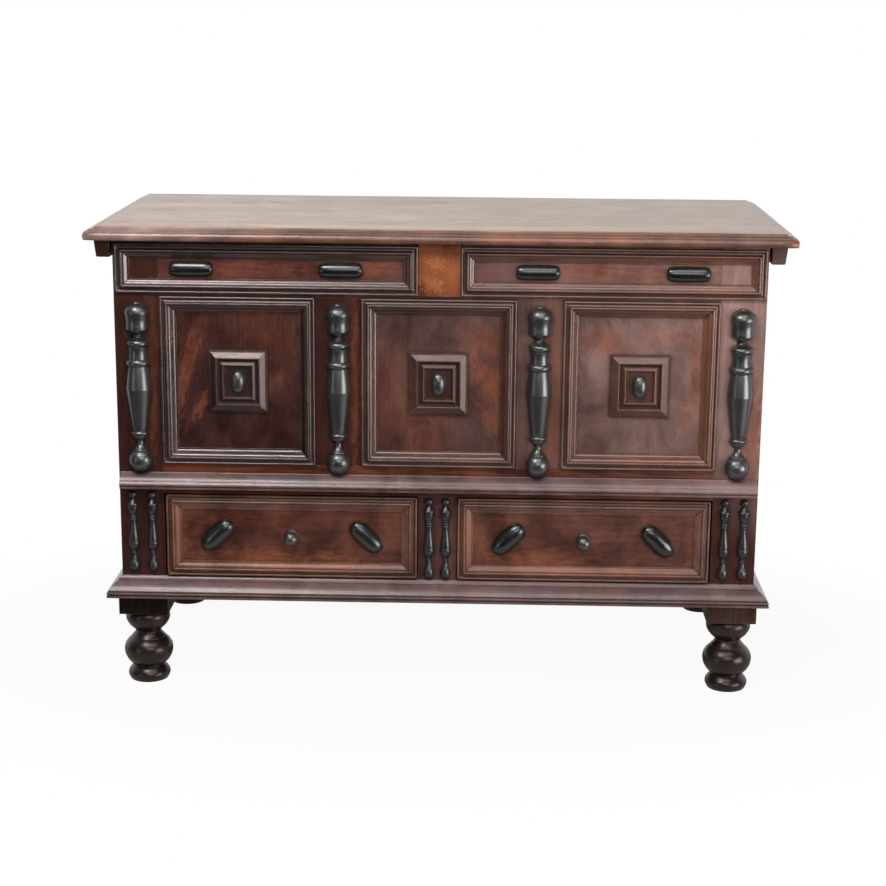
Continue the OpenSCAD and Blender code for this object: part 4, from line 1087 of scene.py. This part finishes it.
def backdrop_share(tree, behind):
    """1 for a ray that sees the white backdrop: from the camera, through glass, or mirrored
    towards the back."""
    path = place(tree, "LightPath").outputs
    mirrored = times(tree, path["Is Glossy Ray"], behind)
    seen = calc(tree, "MAXIMUM", path["Is Camera Ray"], mirrored)
    return calc(tree, "MAXIMUM", seen, path["Is Transmission Ray"])


class CHEST_OT_stage(bpy.types.Operator):
    """Sets the camera, the lights, the white room and the floor"""

    bl_idname = "chest.stage"
    bl_label = "Stage"

    def execute(self, context):
        scene = context.scene
        self.set_camera(scene)
        scene.view_settings.view_transform = "Standard"
        for name, energy, where, aim, size in LIGHTS:
            lamp = bpy.data.lights.new(name, "AREA")
            lamp.shape = "RECTANGLE"
            lamp.size, lamp.size_y = size
            lamp.energy = getattr(scene.chest_stage, energy)
            holder = bpy.data.objects.new(name, lamp)
            holder.location = where
            beam = Vector(aim) - Vector(where)
            holder.rotation_euler = beam.to_track_quat("-Z", "Y").to_euler()
            scene.collection.objects.link(holder)
        self.build_room(scene)
        self.build_floor(scene)
        return {"FINISHED"}

    def set_camera(self, scene):
        stage = scene.chest_stage
        lens = bpy.data.cameras.new("camera")
        lens.lens = stage.lens
        lens.sensor_width = 36.0
        camera = bpy.data.objects.new("camera", lens)
        turn = (
            Matrix.Rotation(stage.yaw, 4, "Z")
            @ Matrix.Rotation(math.pi / 2 - stage.pitch, 4, "X")
            @ Matrix.Rotation(stage.roll, 4, "Z")
        )
        camera.matrix_world = Matrix.Translation(stage.camera_place) @ turn
        scene.collection.objects.link(camera)
        scene.camera = camera

    def build_room(self, scene):
        """A room pale above and dim below, with a white backdrop that gloss shows too."""
        stage = scene.chest_stage
        room = bpy.data.worlds.new("room")
        scene.world = room
        room.use_nodes = True
        tree = room.node_tree
        tree.nodes.clear()
        towards = split(tree, place(tree, "TexCoord").outputs["Generated"])
        rise = step(tree, towards["Z"], -0.15, 0.65)
        level = plus(tree, times(tree, rise, stage.ambient - stage.below), stage.below)
        soft = place(tree, "Background", {"Color": WHITE, "Strength": level})
        white = place(tree, "Background", {"Color": WHITE, "Strength": 1.0})
        seen = backdrop_share(tree, step(tree, towards["Y"], -0.10, 0.35))
        inputs = {0: seen, 1: soft.outputs[0], 2: white.outputs[0]}
        both = place(tree, "MixShader", inputs)
        place(tree, "OutputWorld", {"Surface": both.outputs[0]})

    def build_floor(self, scene):
        """An oval pale floor that is nearly white to the camera and keeps a faint shadow."""
        width = 1.5
        clearance = 0.0005
        near_glow = 0.94
        shape = bmesh.new()
        bmesh.ops.create_circle(shape, cap_ends=True, segments=96, radius=1.0)
        bmesh.ops.scale(shape, verts=shape.verts, vec=(width, 1.0, 1.0))
        bmesh.ops.translate(shape, verts=shape.verts, vec=(0.0, 0.05, -clearance))
        ground = bpy.data.meshes.new("floor")
        shape.to_mesh(ground)
        shape.free()
        floor = bpy.data.objects.new("floor", ground)
        scene.collection.objects.link(floor)

        material, tree = new_material("pale_floor")
        matt = place(tree, "BsdfDiffuse", {"Color": (0.62, 0.62, 0.62, 1.0)})
        glow = place(tree, "Emission", {"Color": WHITE, "Strength": 1.0})
        point = object_place(tree)
        seen = backdrop_share(tree, step(tree, split(tree, point)["Y"], 0.1, 0.6))
        oval = calc_vector(tree, "MULTIPLY", point, (0.6667, 1.0, 1.0))
        distance = calc_vector(tree, "LENGTH", oval, result="Value")
        far = times(tree, step(tree, distance, 0.55, 0.93), 1.0 - near_glow)
        share = times(tree, seen, plus(tree, near_glow, far))
        inputs = {0: share, 1: matt.outputs[0], 2: glow.outputs[0]}
        both = place(tree, "MixShader", inputs)
        place(tree, "OutputMaterial", {"Surface": both.outputs[0]})
        ground.materials.append(material)


OPERATORS = (
    CHEST_OT_effects, CHEST_OT_case, CHEST_OT_panels, CHEST_OT_mouldings, CHEST_OT_turnings,
    CHEST_OT_drawers, CHEST_OT_inside, CHEST_OT_lid, CHEST_OT_hinges, CHEST_OT_stage,
)


class CHEST_PT_panel(bpy.types.Panel):
    """Lists the chest's sizes, colours and steps"""

    bl_label = "Storage Chest"
    bl_idname = "CHEST_PT_panel"
    bl_space_type = "VIEW_3D"
    bl_region_type = "UI"
    bl_category = "Storage Chest"

    def draw(self, context):
        scene = context.scene
        for group in (scene.chest_stains, scene.chest_wear, scene.chest_stage):
            box = self.layout.box()
            for key in group.bl_rna.properties.keys():
                if key not in {"rna_type", "name"}:
                    box.prop(group, key)
        for operator in OPERATORS:
            self.layout.operator(operator.bl_idname)


CLASSES = (CHEST_PG_stains, CHEST_PG_wear, CHEST_PG_stage) + OPERATORS + (CHEST_PT_panel,)


def register():
    for item in CLASSES:
        bpy.utils.register_class(item)
    bpy.types.Scene.chest_stains = PointerProperty(type=CHEST_PG_stains)
    bpy.types.Scene.chest_wear = PointerProperty(type=CHEST_PG_wear)
    bpy.types.Scene.chest_stage = PointerProperty(type=CHEST_PG_stage)


def unregister():
    for name in ("chest_stains", "chest_wear", "chest_stage"):
        delattr(bpy.types.Scene, name)
    for item in reversed(CLASSES):
        bpy.utils.unregister_class(item)


def main():
    register()
    for operator in OPERATORS:
        group, name = operator.bl_idname.split(".")
        getattr(getattr(bpy.ops, group), name)()


if __name__ == "__main__":
    main()
